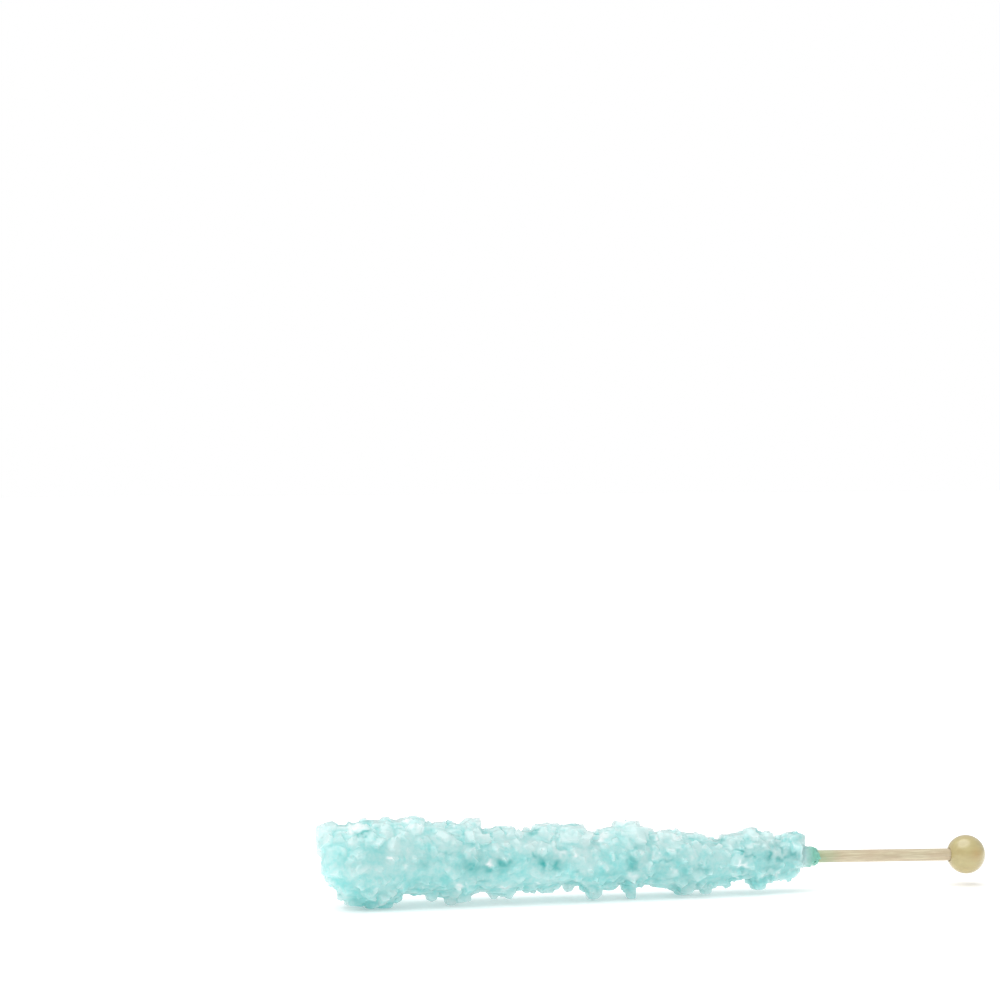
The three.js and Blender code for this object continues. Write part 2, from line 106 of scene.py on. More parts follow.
SEED = 20
GOLDEN_ANGLE = math.pi * (3 - math.sqrt(5))

# The crystals in sizes, largest first: how many, their width and length, how far their corners
# stand in from the reach, and how far they lean from straight out.
SIZES = [
    {"count": 80, "width": (4.2, 6.2), "length": (7.0, 8.5), "inset": (0.0, 0.8), "lean": 0.45},
    {"count": 96, "width": (3.0, 4.4), "length": (6.0, 7.0), "inset": (0.2, 1.0), "lean": 0.6},
    {"count": 40, "width": (2.2, 3.2), "length": (5.0, 6.0), "inset": (0.2, 1.0), "lean": 0.7},
]
THIN_END_SCALE = 0.75  # the candy grows thinner towards the ball, its crystals smaller

# What their forms range over: the thickness as a share of the width, how far the end's ridge is
# off the middle as a share of each, and its slopes to the gentle and to the steep side.
FORMS = {"thickness": (0.62, 0.95), "off_middle": (-0.25, 0.25), "gentle": (0.2, 0.7),
         "steep": (0.4, 1.0)}

# Crystals that stand proud of the rest, along the top and the bottom of the shown side: station,
# degrees round the axis, reach from the axis, width along the stick and of the flat crest, and
# slope from the crest towards the tip and towards the ball.
PROUD = [
    (2.7, 92, 10.3, 4.6, 2.2, 0.6, 0.5),
    (12.6, 84, 10.7, 6.2, 4.2, 0.3, 0.1),
    (17.1, 98, 11.6, 2.0, 0.5, 0.75, 0.5),
    (23.9, 86, 11.8, 4.6, 3.2, 0.25, 0.9),
    (29.2, 96, 10.4, 5.0, 3.8, 0.1, 0.3),
    (34.3, 84, 10.2, 2.0, 0.5, 0.5, 0.9),
    (38.7, 94, 11.1, 4.2, 2.0, 0.9, 0.6),
    (45.5, 100, 9.3, 2.8, 0.8, 0.8, 0.75),
    (48.6, 84, 9.05, 2.0, 0.5, 0.8, 0.6),
    (58.3, 92, 9.7, 4.2, 2.8, 0.6, 0.3),
    (64.9, 98, 9.5, 5.0, 2.8, 0.5, 0.12),
    (74.2, 84, 8.6, 2.8, 1.2, 0.75, 0.3),
    (79.8, 95, 10.1, 4.6, 2.4, 0.4, 0.75),
    (89.2, 98, 7.6, 5.8, 3.8, 0.25, 0.2),
    (97.0, 84, 6.4, 3.0, 1.8, 0.2, 0.6),
    (106.8, 96, 6.3, 5.0, 3.2, 0.25, 0.1),
    (112.0, 88, 7.8, 2.6, 0.8, 0.4, 0.8),
    (115.7, 98, 7.0, 2.4, 0.8, 0.4, 0.8),
    (123.0, 92, 6.7, 4.6, 2.6, 0.6, 0.25),
    (9.8, -98, 10.6, 3.6, 2.8, 0.5, 0.05),
    (13.6, -104, 11.3, 3.2, 1.2, 0.45, 0.15),
    (14.4, -74, 11.2, 4.4, 2.4, 0.3, 0.3),
    (17.0, -96, 11.1, 3.6, 2.6, 0.1, 0.7),
    (19.9, -106, 10.0, 2.4, 0.7, 0.7, 0.8),
    (25.1, -100, 8.3, 2.0, 0.6, 0.5, 0.9),
    (29.0, -104, 9.7, 2.8, 0.7, 0.6, 1.05),
    (31.8, -94, 8.8, 2.0, 1.0, 0.4, 0.2),
    (34.0, -98, 10.8, 2.4, 0.8, 0.8, 0.6),
    (36.7, -104, 10.2, 3.4, 2.8, 0.15, 0.1),
    (41.4, -100, 7.6, 3.8, 2.4, 0.25, 0.15),
    (44.7, -96, 9.5, 2.2, 0.5, 1.0, 0.9),
    (48.8, -104, 9.4, 2.8, 0.7, 0.5, 1.05),
    (53.6, -96, 8.1, 1.8, 0.5, 0.7, 0.9),
    (57.2, -104, 8.2, 2.2, 0.6, 0.7, 0.65),
    (60.1, -95, 8.0, 1.8, 0.5, 0.8, 0.9),
    (63.9, -102, 7.9, 2.2, 0.7, 1.0, 0.9),
    (68.0, -96, 8.1, 2.2, 0.8, 0.9, 0.3),
    (70.7, -102, 9.9, 3.4, 1.6, 0.95, 0.9),
    (74.2, -96, 7.7, 3.6, 1.2, 0.2, 0.7),
    (80.2, -100, 9.9, 2.4, 1.4, 0.9, 0.35),
    (88.4, -98, 7.4, 4.4, 3.0, 0.4, 0.1),
    (94.2, -102, 9.2, 4.0, 1.8, 0.6, 0.9),
    (94.6, -72, 9.8, 4.0, 2.4, 0.4, 0.4),
    (99.7, -98, 9.1, 2.2, 1.2, 0.7, 0.6),
    (103.6, -104, 7.1, 2.8, 1.8, 0.2, 0.3),
    (113.8, -100, 8.3, 3.0, 1.4, 0.6, 0.6),
    (120.4, -98, 5.8, 4.6, 3.4, 0.25, 0.7),
]
PROUD_LENGTH = 7.5
PROUD_ROUND = 1.25  # width round the axis, as a share of the width along the stick
PROUD_ROUND_MOST = 4.6
PROUD_SPIN = 0.15  # the most that one is turned about its own length
PROUD_LEAN = 0.12  # and the most that it leans along the stick

# Lower crystals that fill the outline between them, in a row along the top and one along the
# bottom: how far apart, and each one's width, crest, slopes and inset from the reach.
FILLING = {"rows": (88, -98), "step": 3.1, "stray": (-6, 6), "width": (3.0, 4.2),
           "crest": (0.5, 0.8), "slopes": (0.1, 0.5), "inset": (-0.1, 0.4)}

# Where more crystals grow: leaning ones that close the chinks between the proud ones, and slim
# ones that stick out between them, each row from and to which station and degrees round the axis,
# how many, and their inset from the reach.
CHINKS = [
    {"stations": (6.5, 20), "degrees": (-135, -62), "count": 34, "inset": (-0.6, 0.5)},
    {"stations": (31, 40), "degrees": (-135, -62), "count": 16, "inset": (-0.5, 0.5)},
    {"stations": (90, 99), "degrees": (-135, -62), "count": 16, "inset": (-0.5, 0.5)},
    {"stations": (8, 16), "degrees": (106, 138), "count": 16, "inset": (-0.3, 0.4)},
]
CHINK_CRYSTALS = {"width": (2.0, 3.6), "length": (4.5, 6.0), "lean": 0.6}
CHINK_SEED = 13
SPIKES = [
    {"stations": (2, 124), "degrees": (62, 118), "count": 40, "inset": (-1.1, -0.3)},
    {"stations": (6, 122), "degrees": (-116, -76), "count": 26, "inset": (-1.0, -0.2)},
]
SPIKE_CRYSTALS = {"width": (1.2, 2.2), "length": (3.6, 4.6), "lean": 0.35}
SPIKE_SEED = 19

# Crystals that lean on the proud ones, in sizes: from how many degrees round the axis the proud
# ones carry them, how many on each, how far along it (as a share of its width, either way), their
# width (at most a share of the proud one's) and how much longer they are, their inset from its
# outline, and how many degrees they are aside from it.
CLINGING = [
    {"from": 0, "count": 6, "along": 0.5, "width": (2.2, 3.6), "share": 0.8, "stretch": 1.6,
     "inset": (-0.05, 0.5), "aside": (0, 14)},
    {"from": 0, "count": 7, "along": 0.5, "width": (2.4, 3.8), "share": 1.0, "stretch": 1.6,
     "inset": (0.3, 1.3), "aside": (12, 34)},
    {"from": 0, "count": 5, "along": 0.5, "width": (1.2, 2.2), "share": 0.5, "stretch": 1.3,
     "inset": (-0.1, 0.8), "aside": (0, 20)},
    {"from": -180, "count": 5, "along": 0.5, "width": (0.9, 1.7), "share": 0.5, "stretch": 1.3,
     "inset": (0.2, 1.8), "aside": (0, 16)},
    {"from": -180, "count": 5, "along": 0.75, "width": (1.6, 2.6), "share": 0.9, "stretch": 1.3,
     "inset": (1.3, 2.6), "aside": (0, 14)},
]
CLUSTER_SINK = 0.6  # how far a proud crystal above the axis is sunk in the cluster on it
CLINGING_SEED = 3

# Small crystals that fill the valleys between the large ones.
FINE_SEED = 7
FINE_SIZES = [
    {"count": 480, "width": (2.2, 3.4), "length": (3.6, 4.8), "inset": (0.1, 1.1), "lean": 0.55},
    {"count": 560, "width": (1.3, 2.2), "length": (2.6, 3.4), "inset": (-0.1, 1.2), "lean": 0.8},
]

CORE_DEPTH = 0.95  # how far inside the reach the gaps between the crystals are filled
CORE_END = 1.5  # and inside the candy's ends
CORE_RINGS = 60
CORE_SIDES = 28

EDGE_ROUND = 0.14  # worn edge of a crystal
FINE_ROUND = 0.07
PROUD_EDGE = 0.2  # and of one that stands proud
SKIN_DEPTH = 9  # the skin is found in boxes: the candy's length, over its scale, halved so often
SKIN_SCALE = 0.65
FUSING_STEPS = 5
FILLS = 0.8  # how far a step draws a hollow's points to those round them
WEARS = 0.12  # and an edge's
UNFOLDING_STEPS = 16
CRISP_EDGE = math.radians(25)  # edges that turn more than this stay crisp
HOLLOW_STEPS = 60
HOLLOW_DEPTH = 0.5  # a hollow this far under the smoothed skin is at its deepest painted shade
EVEN = 0.5  # how hollow an even place is, from 0 for the proudest to 1 for the deepest
TONE_SEED = 11

# Where deep teal painted shade is put in pockets on the shown side: station, height over the axis, half
# length along the stick, half height, and how strong.
SHADED_POCKETS = [
    (37.7, -1.5, 1.4, 1.2, 0.8), (38.5, -1.4, 3.8, 2.8, 0.55), (25.5, -0.4, 1.8, 1.0, 0.35),
    (12.3, -10.7, 5.0, 1.0, 0.5), (31.1, 2.5, 2.6, 0.4, 0.35), (45.8, -0.5, 2.4, 1.0, 0.9),
    (42.0, -1.7, 2.4, 1.2, 0.75), (40.9, -5.1, 1.6, 1.2, 0.5), (53.5, 1.2, 0.6, 0.9, 0.7),
    (52.0, 0.2, 0.6, 0.5, 0.6), (56.0, -0.9, 0.7, 1.8, 0.95), (58.9, -1.2, 1.6, 1.6, 0.8),
    (55.3, 0.3, 2.4, 1.2, 0.55), (60.8, 3.3, 2.2, 0.4, 0.4), (64.4, -3.2, 0.6, 0.5, 0.5),
    (72.7, -4.1, 4.4, 1.0, 0.4), (78.9, -1.9, 1.6, 1.8, 0.9), (79.1, 2.8, 1.4, 0.4, 0.5),
    (74.6, -6.6, 1.8, 0.7, 0.45), (77.9, -8.0, 1.6, 1.6, 0.5), (69.0, -8.9, 2.4, 0.9, 0.45),
    (86.1, -0.8, 0.9, 0.5, 0.7), (88.1, -0.4, 1.8, 0.6, 0.5), (90.7, 1.9, 0.4, 0.9, 0.5),
    (92.6, 3.9, 0.8, 0.6, 0.4), (96.8, 5.1, 1.6, 0.8, 0.4), (96.8, -1.6, 0.6, 0.9, 0.5),
    (97.4, -3.4, 2.2, 0.8, 0.45), (92.0, -7.7, 4.0, 1.4, 0.5), (97.1, -8.2, 1.6, 1.1, 0.45),
    (107.6, 1.8, 1.1, 0.4, 0.9), (109.3, 1.0, 1.1, 0.4, 0.8), (111.0, 0.2, 1.2, 0.5, 0.9),
    (115.2, 0.6, 0.8, 1.4, 0.8), (114.6, -1.0, 0.8, 0.6, 0.6), (118.0, -0.7, 1.1, 0.6, 0.7),
    (119.9, 0.2, 0.9, 0.8, 0.65), (121.6, 0.0, 1.1, 0.8, 0.65), (118.8, 2.7, 0.9, 0.5, 0.5),
    (123.4, -0.1, 0.5, 1.0, 0.4), (116.0, -3.2, 3.2, 0.8, 0.5), (107.9, -3.8, 1.4, 0.7, 0.5),
    (111.3, -6.7, 2.2, 0.8, 0.5), (43.5, -1.6, 5.0, 2.0, 0.5), (57.0, -0.6, 4.0, 2.4, 0.3),
    (88.0, -4.6, 11.0, 2.4, 0.3), (27.0, -5.8, 6.0, 2.2, 0.22),
]
# And where white highlights are painted on the sugar.
PAINTED_GLINTS = [
    (17.3, 1.7, 0.9, 0.7, 1.0), (9.2, 8.4, 2.8, 0.8, 0.9), (35.1, -6.5, 1.1, 0.9, 0.9),
    (22.6, 8.3, 1.3, 0.9, 0.5), (42.0, -0.4, 1.2, 0.5, 0.9), (46.9, -7.8, 1.4, 1.1, 0.8),
    (61.0, 2.2, 1.6, 0.8, 0.5), (63.8, 0.8, 0.5, 0.5, 0.7), (57.5, 8.8, 1.8, 0.8, 0.5),
    (72.5, 7.6, 1.4, 0.7, 0.6), (78.5, 8.4, 2.6, 0.8, 0.5), (55.3, -6.5, 0.5, 0.5, 0.7),
    (86.0, 6.2, 0.5, 0.5, 0.8), (86.1, 2.1, 0.5, 0.5, 0.7), (107.5, -1.7, 1.2, 0.5, 1.0),
    (118.2, -4.6, 0.4, 0.7, 1.0), (91.7, 5.9, 2.0, 0.4, 0.5), (90.2, -3.5, 1.2, 0.9, 0.4),
    (79.4, -5.0, 1.6, 1.3, 0.5), (114.5, -5.0, 1.2, 0.8, 0.5),
]
SEEN_FROM_ABOVE = math.radians(8.5)  # how far over the axis the shown side is looked at from
SPOT_WITHIN = 1.02  # the reach is taken as at least this many times a spot's height
SPOT_RAGGED = 1.3  # the size of the lobes of a spot's ragged edge, and how far they reach
SPOT_STRAY = 1.1

# Spots by chance on the other sides, of painted shade and of painted highlight: how many of each are
# drawn all round, before those on the shown side are dropped, and what they range over.
SPOT_SEED = 31
ROUND_THE_BACK = {"pocket_shade": 75, "painted_glint": 34}
CHANCE_SPOTS = {"along": (0.5, 2.4), "tall": (0.4, 1.4), "strength": (0.4, 1.0)}
NOT_SHOWN = -0.5  # the cosine of the angle round the axis, over which a place isn't shown

# ---- The view -----------------------------------------------------------------------------------
VIEW_AZIMUTH = math.radians(-12)
VIEW_PITCH = math.radians(2.0)
LENS = 100
SENSOR = 36
PICTURE = 1000  # pixels each way
BALL_PIXEL = (965.8, 854.2)  # where the ball's centre falls in the picture
BALL_DEPTH = 719.7  # from the camera to the ball's centre along the view


# ---- Chance, the same at every run ----------------------------------------------------------------
WORD = 0xFFFFFFFF  # the largest whole number of 32 bits
STRIDE = 0x6D2B79F5  # what the state grows by at each draw


class Chance:
    """Numbers from 0 to 1 by the Mulberry32 rule, from a seed."""

    def __init__(self, seed):
        self.state = seed

    def draw(self):
        self.state = (self.state + STRIDE) & WORD
        t = self.state
        t = ((t ^ (t >> 15)) * (1 | t)) & WORD
        t = (t + (((t ^ (t >> 7)) * (61 | t)) & WORD)) ^ t
        t &= WORD
        return (t ^ (t >> 14)) / (WORD + 1)

    def between(self, low_high):
        low, high = low_high
        return low + (high - low) * self.draw()


# ---- The reach of the candy -----------------------------------------------------------------------
def eased_along(rows, station):
    """The value at a station, eased from one (station, value) row to the next."""
    after = next((n for n, row in enumerate(rows) if row[0] > station), None)
    if after is None:
        return rows[-1][1]
    if after == 0:
        return rows[0][1]
    (start, low), (end, high) = rows[after - 1], rows[after]
    share = (station - start) / (end - start)
    return low + (high - low) * share * share * (3 - 2 * share)


def end_share(station):
    """1 along the candy, falling to 0 at both ends on a rounded corner."""
    from_tip = max(0, 1 - station / TIP_ROUNDING)
    from_end = max(0, 1 - (CANDY_LENGTH - station) / END_ROUNDING)
    return max(0, 1 - max(from_tip, from_end) ** 3) ** (1 / 3)


def reach_at(station, angle):
    behind, above = math.cos(angle), math.sin(angle)
    upright = above**2 * eased_along(REACH_ABOVE if above > 0 else REACH_BELOW, station)
    sideways = behind**2 * eased_along(REACH_BEHIND if behind > 0 else REACH_SHOWN, station)
    return (upright + sideways) * end_share(station)


QUARTERS = [quarter * math.pi / 2 for quarter in range(4)]


def mean_reach(station):
    return sum(reach_at(station, angle) for angle in QUARTERS) / 4


SKIN_STEPS = 400


def skin_table():
    """Rows of (station, area), from the tip to the end, with the skin's area up to each."""
    rows = [(0, 0)]
    before, inner = 0, mean_reach(0)
    for step in range(1, SKIN_STEPS + 1):
        station = CANDY_LENGTH * (1 - math.cos(math.pi * step / SKIN_STEPS)) / 2
        outer = mean_reach(station)
        slant = math.hypot(station - before, outer - inner)
        rows.append((station, rows[-1][1] + math.pi * (inner + outer) * slant))
        before, inner = station, outer
    return rows


SKIN = skin_table()


def site_at(index, count, turn):
    """Sites evenly over the skin: equal areas along it, the golden angle round it."""
    wanted = (index + 0.5) / count * SKIN[-1][1]
    after = next(n for n, row in enumerate(SKIN) if row[1] >= wanted)
    low, high = SKIN[after - 1], SKIN[after]
    share = (wanted - low[1]) / (high[1] - low[1])
    return low[0] + (high[0] - low[0]) * share, turn + index * GOLDEN_ANGLE


def radial(angle):
    return Vector((0, math.cos(angle), math.sin(angle)))


SLOPE_STEP = 0.05  # how far either side of a site the skin's slope is found over


def skin_at(station, angle):
    """The skin's point and outward direction at a site."""
    before, after = max(0, station - SLOPE_STEP), min(CANDY_LENGTH, station + SLOPE_STEP)
    rise = (reach_at(after, angle) - reach_at(before, angle)) / (after - before)
    point = radial(angle) * reach_at(station, angle)
    point.x = station
    outward = radial(angle)
    outward.x = -rise
    return point, outward.normalized()


# ---- A crystal --------------------------------------------------------------------------------------
# Sugar grows as a leaning prism with a wedge-shaped end. Its faces are planes, and its corners are
# where three planes meet inside all the others. It stands along +Z, its inner end plain.
PRISM_ANGLE = math.radians(103)
ALONG_CRYSTAL = Vector((0, 0, 1))
ALONG_STICK = Vector((1, 0, 0))
PARALLEL = 1e-6  # three planes whose directions span less than this meet in no corner
ON_PLANE = 1e-4  # how far outside a plane a corner still counts as on it


def chance_form(chance, width, length):
    thickness = width * chance.between(FORMS["thickness"])
    ridge = [across * chance.between(FORMS["off_middle"]) for across in (thickness, width)]
    ridge_turn = PRISM_ANGLE * (0 if chance.draw() < 0.5 else 1)
    slopes = [chance.between(FORMS["gentle"]), chance.between(FORMS["steep"])]
    return dict(thickness=thickness, width=width, length=length, ridge=ridge, crest=0,
                ridge_turn=ridge_turn, slopes=slopes)


def crystal_planes(form):
    """Each plane as its normal and its distance from the crystal's middle."""
    planes = []
    for side in (0, math.pi):
        for turn, size in ((0, form["thickness"]), (PRISM_ANGLE, form["width"])):
            normal = Vector((math.cos(turn + side), math.sin(turn + side), 0))
            planes.append((normal, size / 2))
    top = Vector((*form["ridge"], form["length"] / 2))
    for number, slope in enumerate(form["slopes"]):
        turn = form["ridge_turn"] + number * math.pi
        aside = Vector((math.cos(turn), math.sin(turn), 0))
        normal = aside * math.sin(slope) + ALONG_CRYSTAL * math.cos(slope)
        planes.append((normal, normal.dot(top + aside * form["crest"] / 2)))
    if form["crest"] > 0:
        planes.append((ALONG_CRYSTAL, form["length"] / 2))
    planes.append((-ALONG_CRYSTAL, form["length"] / 2))
    return planes


def corners_and_faces(planes):
    """The crystal's corners, and for each of its planes the corners round that face in order."""
    corners, faces = [], [[] for _ in planes]
    count = len(planes)
    for i in range(count):
        for j in range(i + 1, count):
            for k in range(j + 1, count):
                (a, da), (b, db), (c, dc) = planes[i], planes[j], planes[k]
                bc = b.cross(c)
                volume = a.dot(bc)
                if abs(volume) < PARALLEL:
                    continue
                corner = (bc * da + c.cross(a) * db + a.cross(b) * dc) / volume
                if all(n.dot(corner) < d + ON_PLANE for n, d in planes):
                    for plane in (i, j, k):
                        faces[plane].append(len(corners))
                    corners.append(corner)
    rings = []
    for (normal, _), face in zip(planes, faces):
        if len(face) < 3:
            continue
        middle = sum((corners[n] for n in face), Vector()) / len(face)
        across = (corners[face[0]] - middle).normalized()
        up = normal.cross(across)
        ring = sorted(face, key=lambda n: math.atan2(
            (corners[n] - middle).dot(up), (corners[n] - middle).dot(across)))
        rings.append(ring)
    return corners, rings


def pushed_out(corners, outward, distance):
    furthest = max(corner.dot(outward) for corner in corners)
    return [corner + outward * (distance - furthest) for corner in corners]


def moved_along(corners, station):
    return [corner + ALONG_STICK * station for corner in corners]


def tip_face(point):
    """The station of the tip's slanted end face, beside a point."""
    return TIP_SKEW * point.y + TIP_SLANT * max(0, TIP_TOP - point.z)


def clear_of_tip(corners):
    """Moves a crystal along the stick, as far as clears the tip's slanted end face."""
    overhang = max(tip_face(corner) - corner.x for corner in corners)
    return moved_along(corners, max(0, overhang))


def clear_of_end(corners):
    """Moves a crystal back from the candy's other end, which slopes back below and at the sides."""
    overhangs = []
    for corner in corners:
        below = END_SLANT * max(0, -corner.z - END_BOTTOM)
        aside = END_SIDES * max(0, abs(corner.y) - END_MIDDLE)
        overhangs.append(corner.x - CANDY_LENGTH + (below + aside))
    return moved_along(corners, -max(0, *overhangs))


def standing_crystal(chance, site, size, scale=1):
    """A crystal that grows out of the skin at a site, leaning and turned by chance."""
    width = chance.between(size["width"]) * scale
    length = chance.between(size["length"]) * scale
    inset = chance.between(size["inset"])
    point, outward = skin_at(*site)
    stray = Vector((chance.draw() - 0.5, chance.draw() - 0.5, chance.draw() - 0.5))
    growth = (outward + stray * 2 * size["lean"]).normalized()
    spin = Quaternion(ALONG_CRYSTAL, 2 * math.pi * chance.draw())
    turn = ALONG_CRYSTAL.rotation_difference(growth) @ spin
    corners, rings = corners_and_faces(crystal_planes(chance_form(chance, width, length)))
    corners = [turn @ corner for corner in corners]
    distance = point.dot(outward)
    aside = point - outward * distance
    placed = [corner + aside for corner in pushed_out(corners, outward, distance - inset)]
    return clear_of_tip(placed), rings


def proud_crystal(index, station, degrees, reach, width, crest, tip_slope, ball_slope):
    outward = radial(math.radians(degrees))
    lean = PROUD_LEAN * math.cos((index + 1) * GOLDEN_ANGLE)
    growth = (outward + ALONG_STICK * lean).normalized()
    across = growth.cross(ALONG_STICK).normalized()
    turn = Matrix((across.cross(growth), across, growth)).transposed()
    turn = turn @ Matrix.Rotation(PROUD_SPIN * math.sin((index + 1) * GOLDEN_ANGLE), 3, "Z")
    form = dict(thickness=width, width=min(PROUD_ROUND * width, PROUD_ROUND_MOST),
                length=PROUD_LENGTH, ridge=[0, 0], crest=crest, ridge_turn=0,
                slopes=[ball_slope, tip_slope])
    corners, rings = corners_and_faces(crystal_planes(form))
    placed = pushed_out([turn @ corner for corner in corners], outward, reach)
    return moved_along(placed, station), rings


def scattered_crystals(chance, sizes):
    made = []
    for size in sizes:
        turn = 2 * math.pi * chance.draw()
        for index in range(size["count"]):
            site = site_at(index, size["count"], turn)
            scale = 1 - (1 - THIN_END_SCALE) * site[0] / CANDY_LENGTH
            made.append(standing_crystal(chance, site, size, scale))
    return made


def filling_crystals(chance):
    made = []
    count = int(CANDY_LENGTH / FILLING["step"]) - 1
    for row, degrees in enumerate(FILLING["rows"]):
        for index in range(count):
            station = (index + 1 + row / len(FILLING["rows"])) * FILLING["step"]
            place = degrees + chance.between(FILLING["stray"])
            reach = reach_at(station, math.radians(place)) - chance.between(FILLING["inset"])
            width = chance.between(FILLING["width"])
            crest = width * chance.between(FILLING["crest"])
            slopes = chance.between(FILLING["slopes"]), chance.between(FILLING["slopes"])
            corners, rings = proud_crystal(index, station, place, reach, width, crest, *slopes)
            made.append((clear_of_tip(corners), rings))
    return made


def crystals_in_rows(chance, rows, sizes):
    made = []
    for row in rows:
        for index in range(row["count"]):
            angle = math.radians(chance.between(row["degrees"]))
            site = chance.between(row["stations"]), angle
            made.append(standing_crystal(chance, site, {**sizes, **row}))
    return made


def any_turn(chance):
    turn = Matrix.Rotation(2 * math.pi * chance.draw(), 3, "X")
    return turn @ Matrix.Rotation(2 * math.pi * chance.draw(), 3, "Y")


def turned_crystal(chance, turn, width, stretch, angle, reach):
    """A crystal turned any way, beside the tip, whose furthest corner is at the reach."""
    form = chance_form(chance, width, width * stretch)
    corners, rings = corners_and_faces(crystal_planes(form))
    return pushed_out([turn @ corner for corner in corners], radial(angle), reach), rings


def clinging_crystals(chance):
    """Crystals on the flanks and shoulders of each proud one, within its outline."""
    made = []
    for station, degrees, reach, width, crest, tip_slope, ball_slope in PROUD:
        for size in CLINGING:
            for index in range(size["count"] if degrees > size["from"] else 0):
                along = chance.between((-size["along"], size["along"]))
                slope = ball_slope if along > 0 else tip_slope
                fall = max(0, abs(along) * width - crest / 2) * math.tan(slope)
                depth = reach - fall - chance.between(size["inset"])
                side = 1 if chance.draw() < 0.5 else -1
                angle = math.radians(degrees + side * chance.between(size["aside"]))
                turn = any_turn(chance)
                across = min(chance.between(size["width"]), width * size["share"])
                placed, rings = turned_crystal(chance, turn, across, size["stretch"], angle, depth)
                made.append((clear_of_tip(moved_along(placed, station + along * width)), rings))
    return made


def collar_reach(station):
    share = max(0, station - CANDY_LENGTH) / COLLAR["length"]
    return COLLAR["reach"] * (1 - (1 - COLLAR["left"]) * share)


def collar_crystals(chance):
    made = []
    for index in range(COLLAR["count"]):
        angle = index * GOLDEN_ANGLE
        size = chance.between(COLLAR["width"])
        station = CANDY_LENGTH + chance.between((0, COLLAR["length"] - size / 2))
        share = (station - CANDY_LENGTH) / COLLAR["length"]
        reach = collar_reach(station) + (1 - share) * chance.between(COLLAR_STRAY)
        size *= 1 - COLLAR_THINS * share
        turn = any_turn(chance)
        placed, rings = turned_crystal(chance, turn, size, COLLAR["stretch"], angle, reach)
        made.append((moved_along(placed, station), rings))
    return made


# ---- Laying the stick down -------------------------------------------------------------------------
def lying():
    """From millimetres along the stick's own axis to metres in the frame."""
    drop = FRONT_FOOT["height"] - BACK_FOOT["height"]
    slope = math.atan(drop / (BACK_FOOT["station"] - FRONT_FOOT["station"]))
    height = FRONT_FOOT["height"] / math.cos(slope) + FRONT_FOOT["station"] * math.tan(slope)
    low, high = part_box("ball")
    tip = high.x / MM - OVERALL_LENGTH * math.cos(slope)
    middle = (low.y + high.y) / 2 / MM
    place = Matrix.Translation((tip, middle, height)) @ Matrix.Rotation(slope, 4, "Y")
    return Matrix.Scale(MM, 4) @ place


LYING = lying()


# ---- Meshes -----------------------------------------------------------------------------------------
def new_object(name, mesh):
    made = bpy.data.objects.new(name, mesh)
    bpy.context.scene.collection.objects.link(made)
    return made


def mesh_of(name, made):
    """The mesh of a bmesh, which is then freed."""
    mesh = bpy.data.meshes.new(name)
    made.to_mesh(mesh)
    made.free()
    return mesh


def laid_mesh(name, made):
    """The mesh of a bmesh that was made along the stick's own axis."""
    bmesh.ops.recalc_face_normals(made, faces=made.faces)
    bmesh.ops.transform(made, matrix=LYING, verts=made.verts)
    return mesh_of(name, made)


def crystal_mesh(crystal, rounding, tone):
    """A crystal with worn edges. Its tone, from 0 to 1, is kept on its faces when it is joined."""
    corners, rings = crystal
    made = bmesh.new()
    points = [made.verts.new(corner) for corner in corners]
    for ring in rings:
        made.faces.new([points[n] for n in ring])
    bmesh.ops.bevel(made, geom=made.edges[:], offset=rounding, segments=1, profile=0.5,
                    affect="EDGES", clamp_overlap=True)
    mesh = laid_mesh("crystal", made)
    tones = mesh.attributes.new("tone", "FLOAT", "FACE")
    tones.data.foreach_set("value", [tone] * len(mesh.polygons))
    return mesh


def lofted_mesh(name, rings):
    """A closed skin over rings of points along the stick. A ring of one point closes an end."""
    made = bmesh.new()
    loops = [[made.verts.new(point) for point in ring] for ring in rings]
    sides = max(len(loop) for loop in loops)
    for inner, outer in zip(loops, loops[1:]):
        for n in range(sides):
            after = (n + 1) % sides
            corners = [inner[n % len(inner)], inner[after % len(inner)],
                       outer[after % len(outer)], outer[n % len(outer)]]
            made.faces.new(list(dict.fromkeys(corners)))
    return laid_mesh(name, made)


def angles_round(sides):
    return [2 * math.pi * n / sides for n in range(sides)]


def ring_round(station, radii):
    """Points evenly round the stick's axis, each at its own radius."""
    along = ALONG_STICK * station
    return [radial(angle) * radius + along for angle, radius in zip(angles_round(len(radii)), radii)]


def closed(rings, start, end):
    """The rings with a point on the axis before and after them."""
    return [[ALONG_STICK * start], *rings, [ALONG_STICK * end]]


def turned_rings(profile, sides):
    """Rings from (station, radius) pairs, with one point where the radius is 0."""
    return [ring_round(station, [radius] * (sides if radius else 1)) for station, radius in profile]


def applied(target):
    """The target's mesh with its modifiers applied, in place of the old one."""
    seen = bpy.context.evaluated_depsgraph_get()
    mesh = bpy.data.meshes.new_from_object(target.evaluated_get(seen))
    target.modifiers.clear()
    old, target.data = target.data, mesh
    bpy.data.meshes.remove(old)
    return mesh


def joined(target, operation, others):
    """Applies one Boolean of the target with the other objects, which are then removed."""
    group = bpy.data.collections.new(operation.lower())
    bpy.context.scene.collection.children.link(group)
    for other in others:
        bpy.context.scene.collection.objects.unlink(other)
        group.objects.link(other)
    change = target.modifiers.new(operation.lower(), "BOOLEAN")
    change.operation = operation
    change.solver = "MANIFOLD"
    change.operand_type = "COLLECTION"
    change.collection = group
    applied(target)
    for other in others:
        mesh = other.data
        bpy.data.objects.remove(other)
        bpy.data.meshes.remove(mesh)
    bpy.data.collections.remove(group)


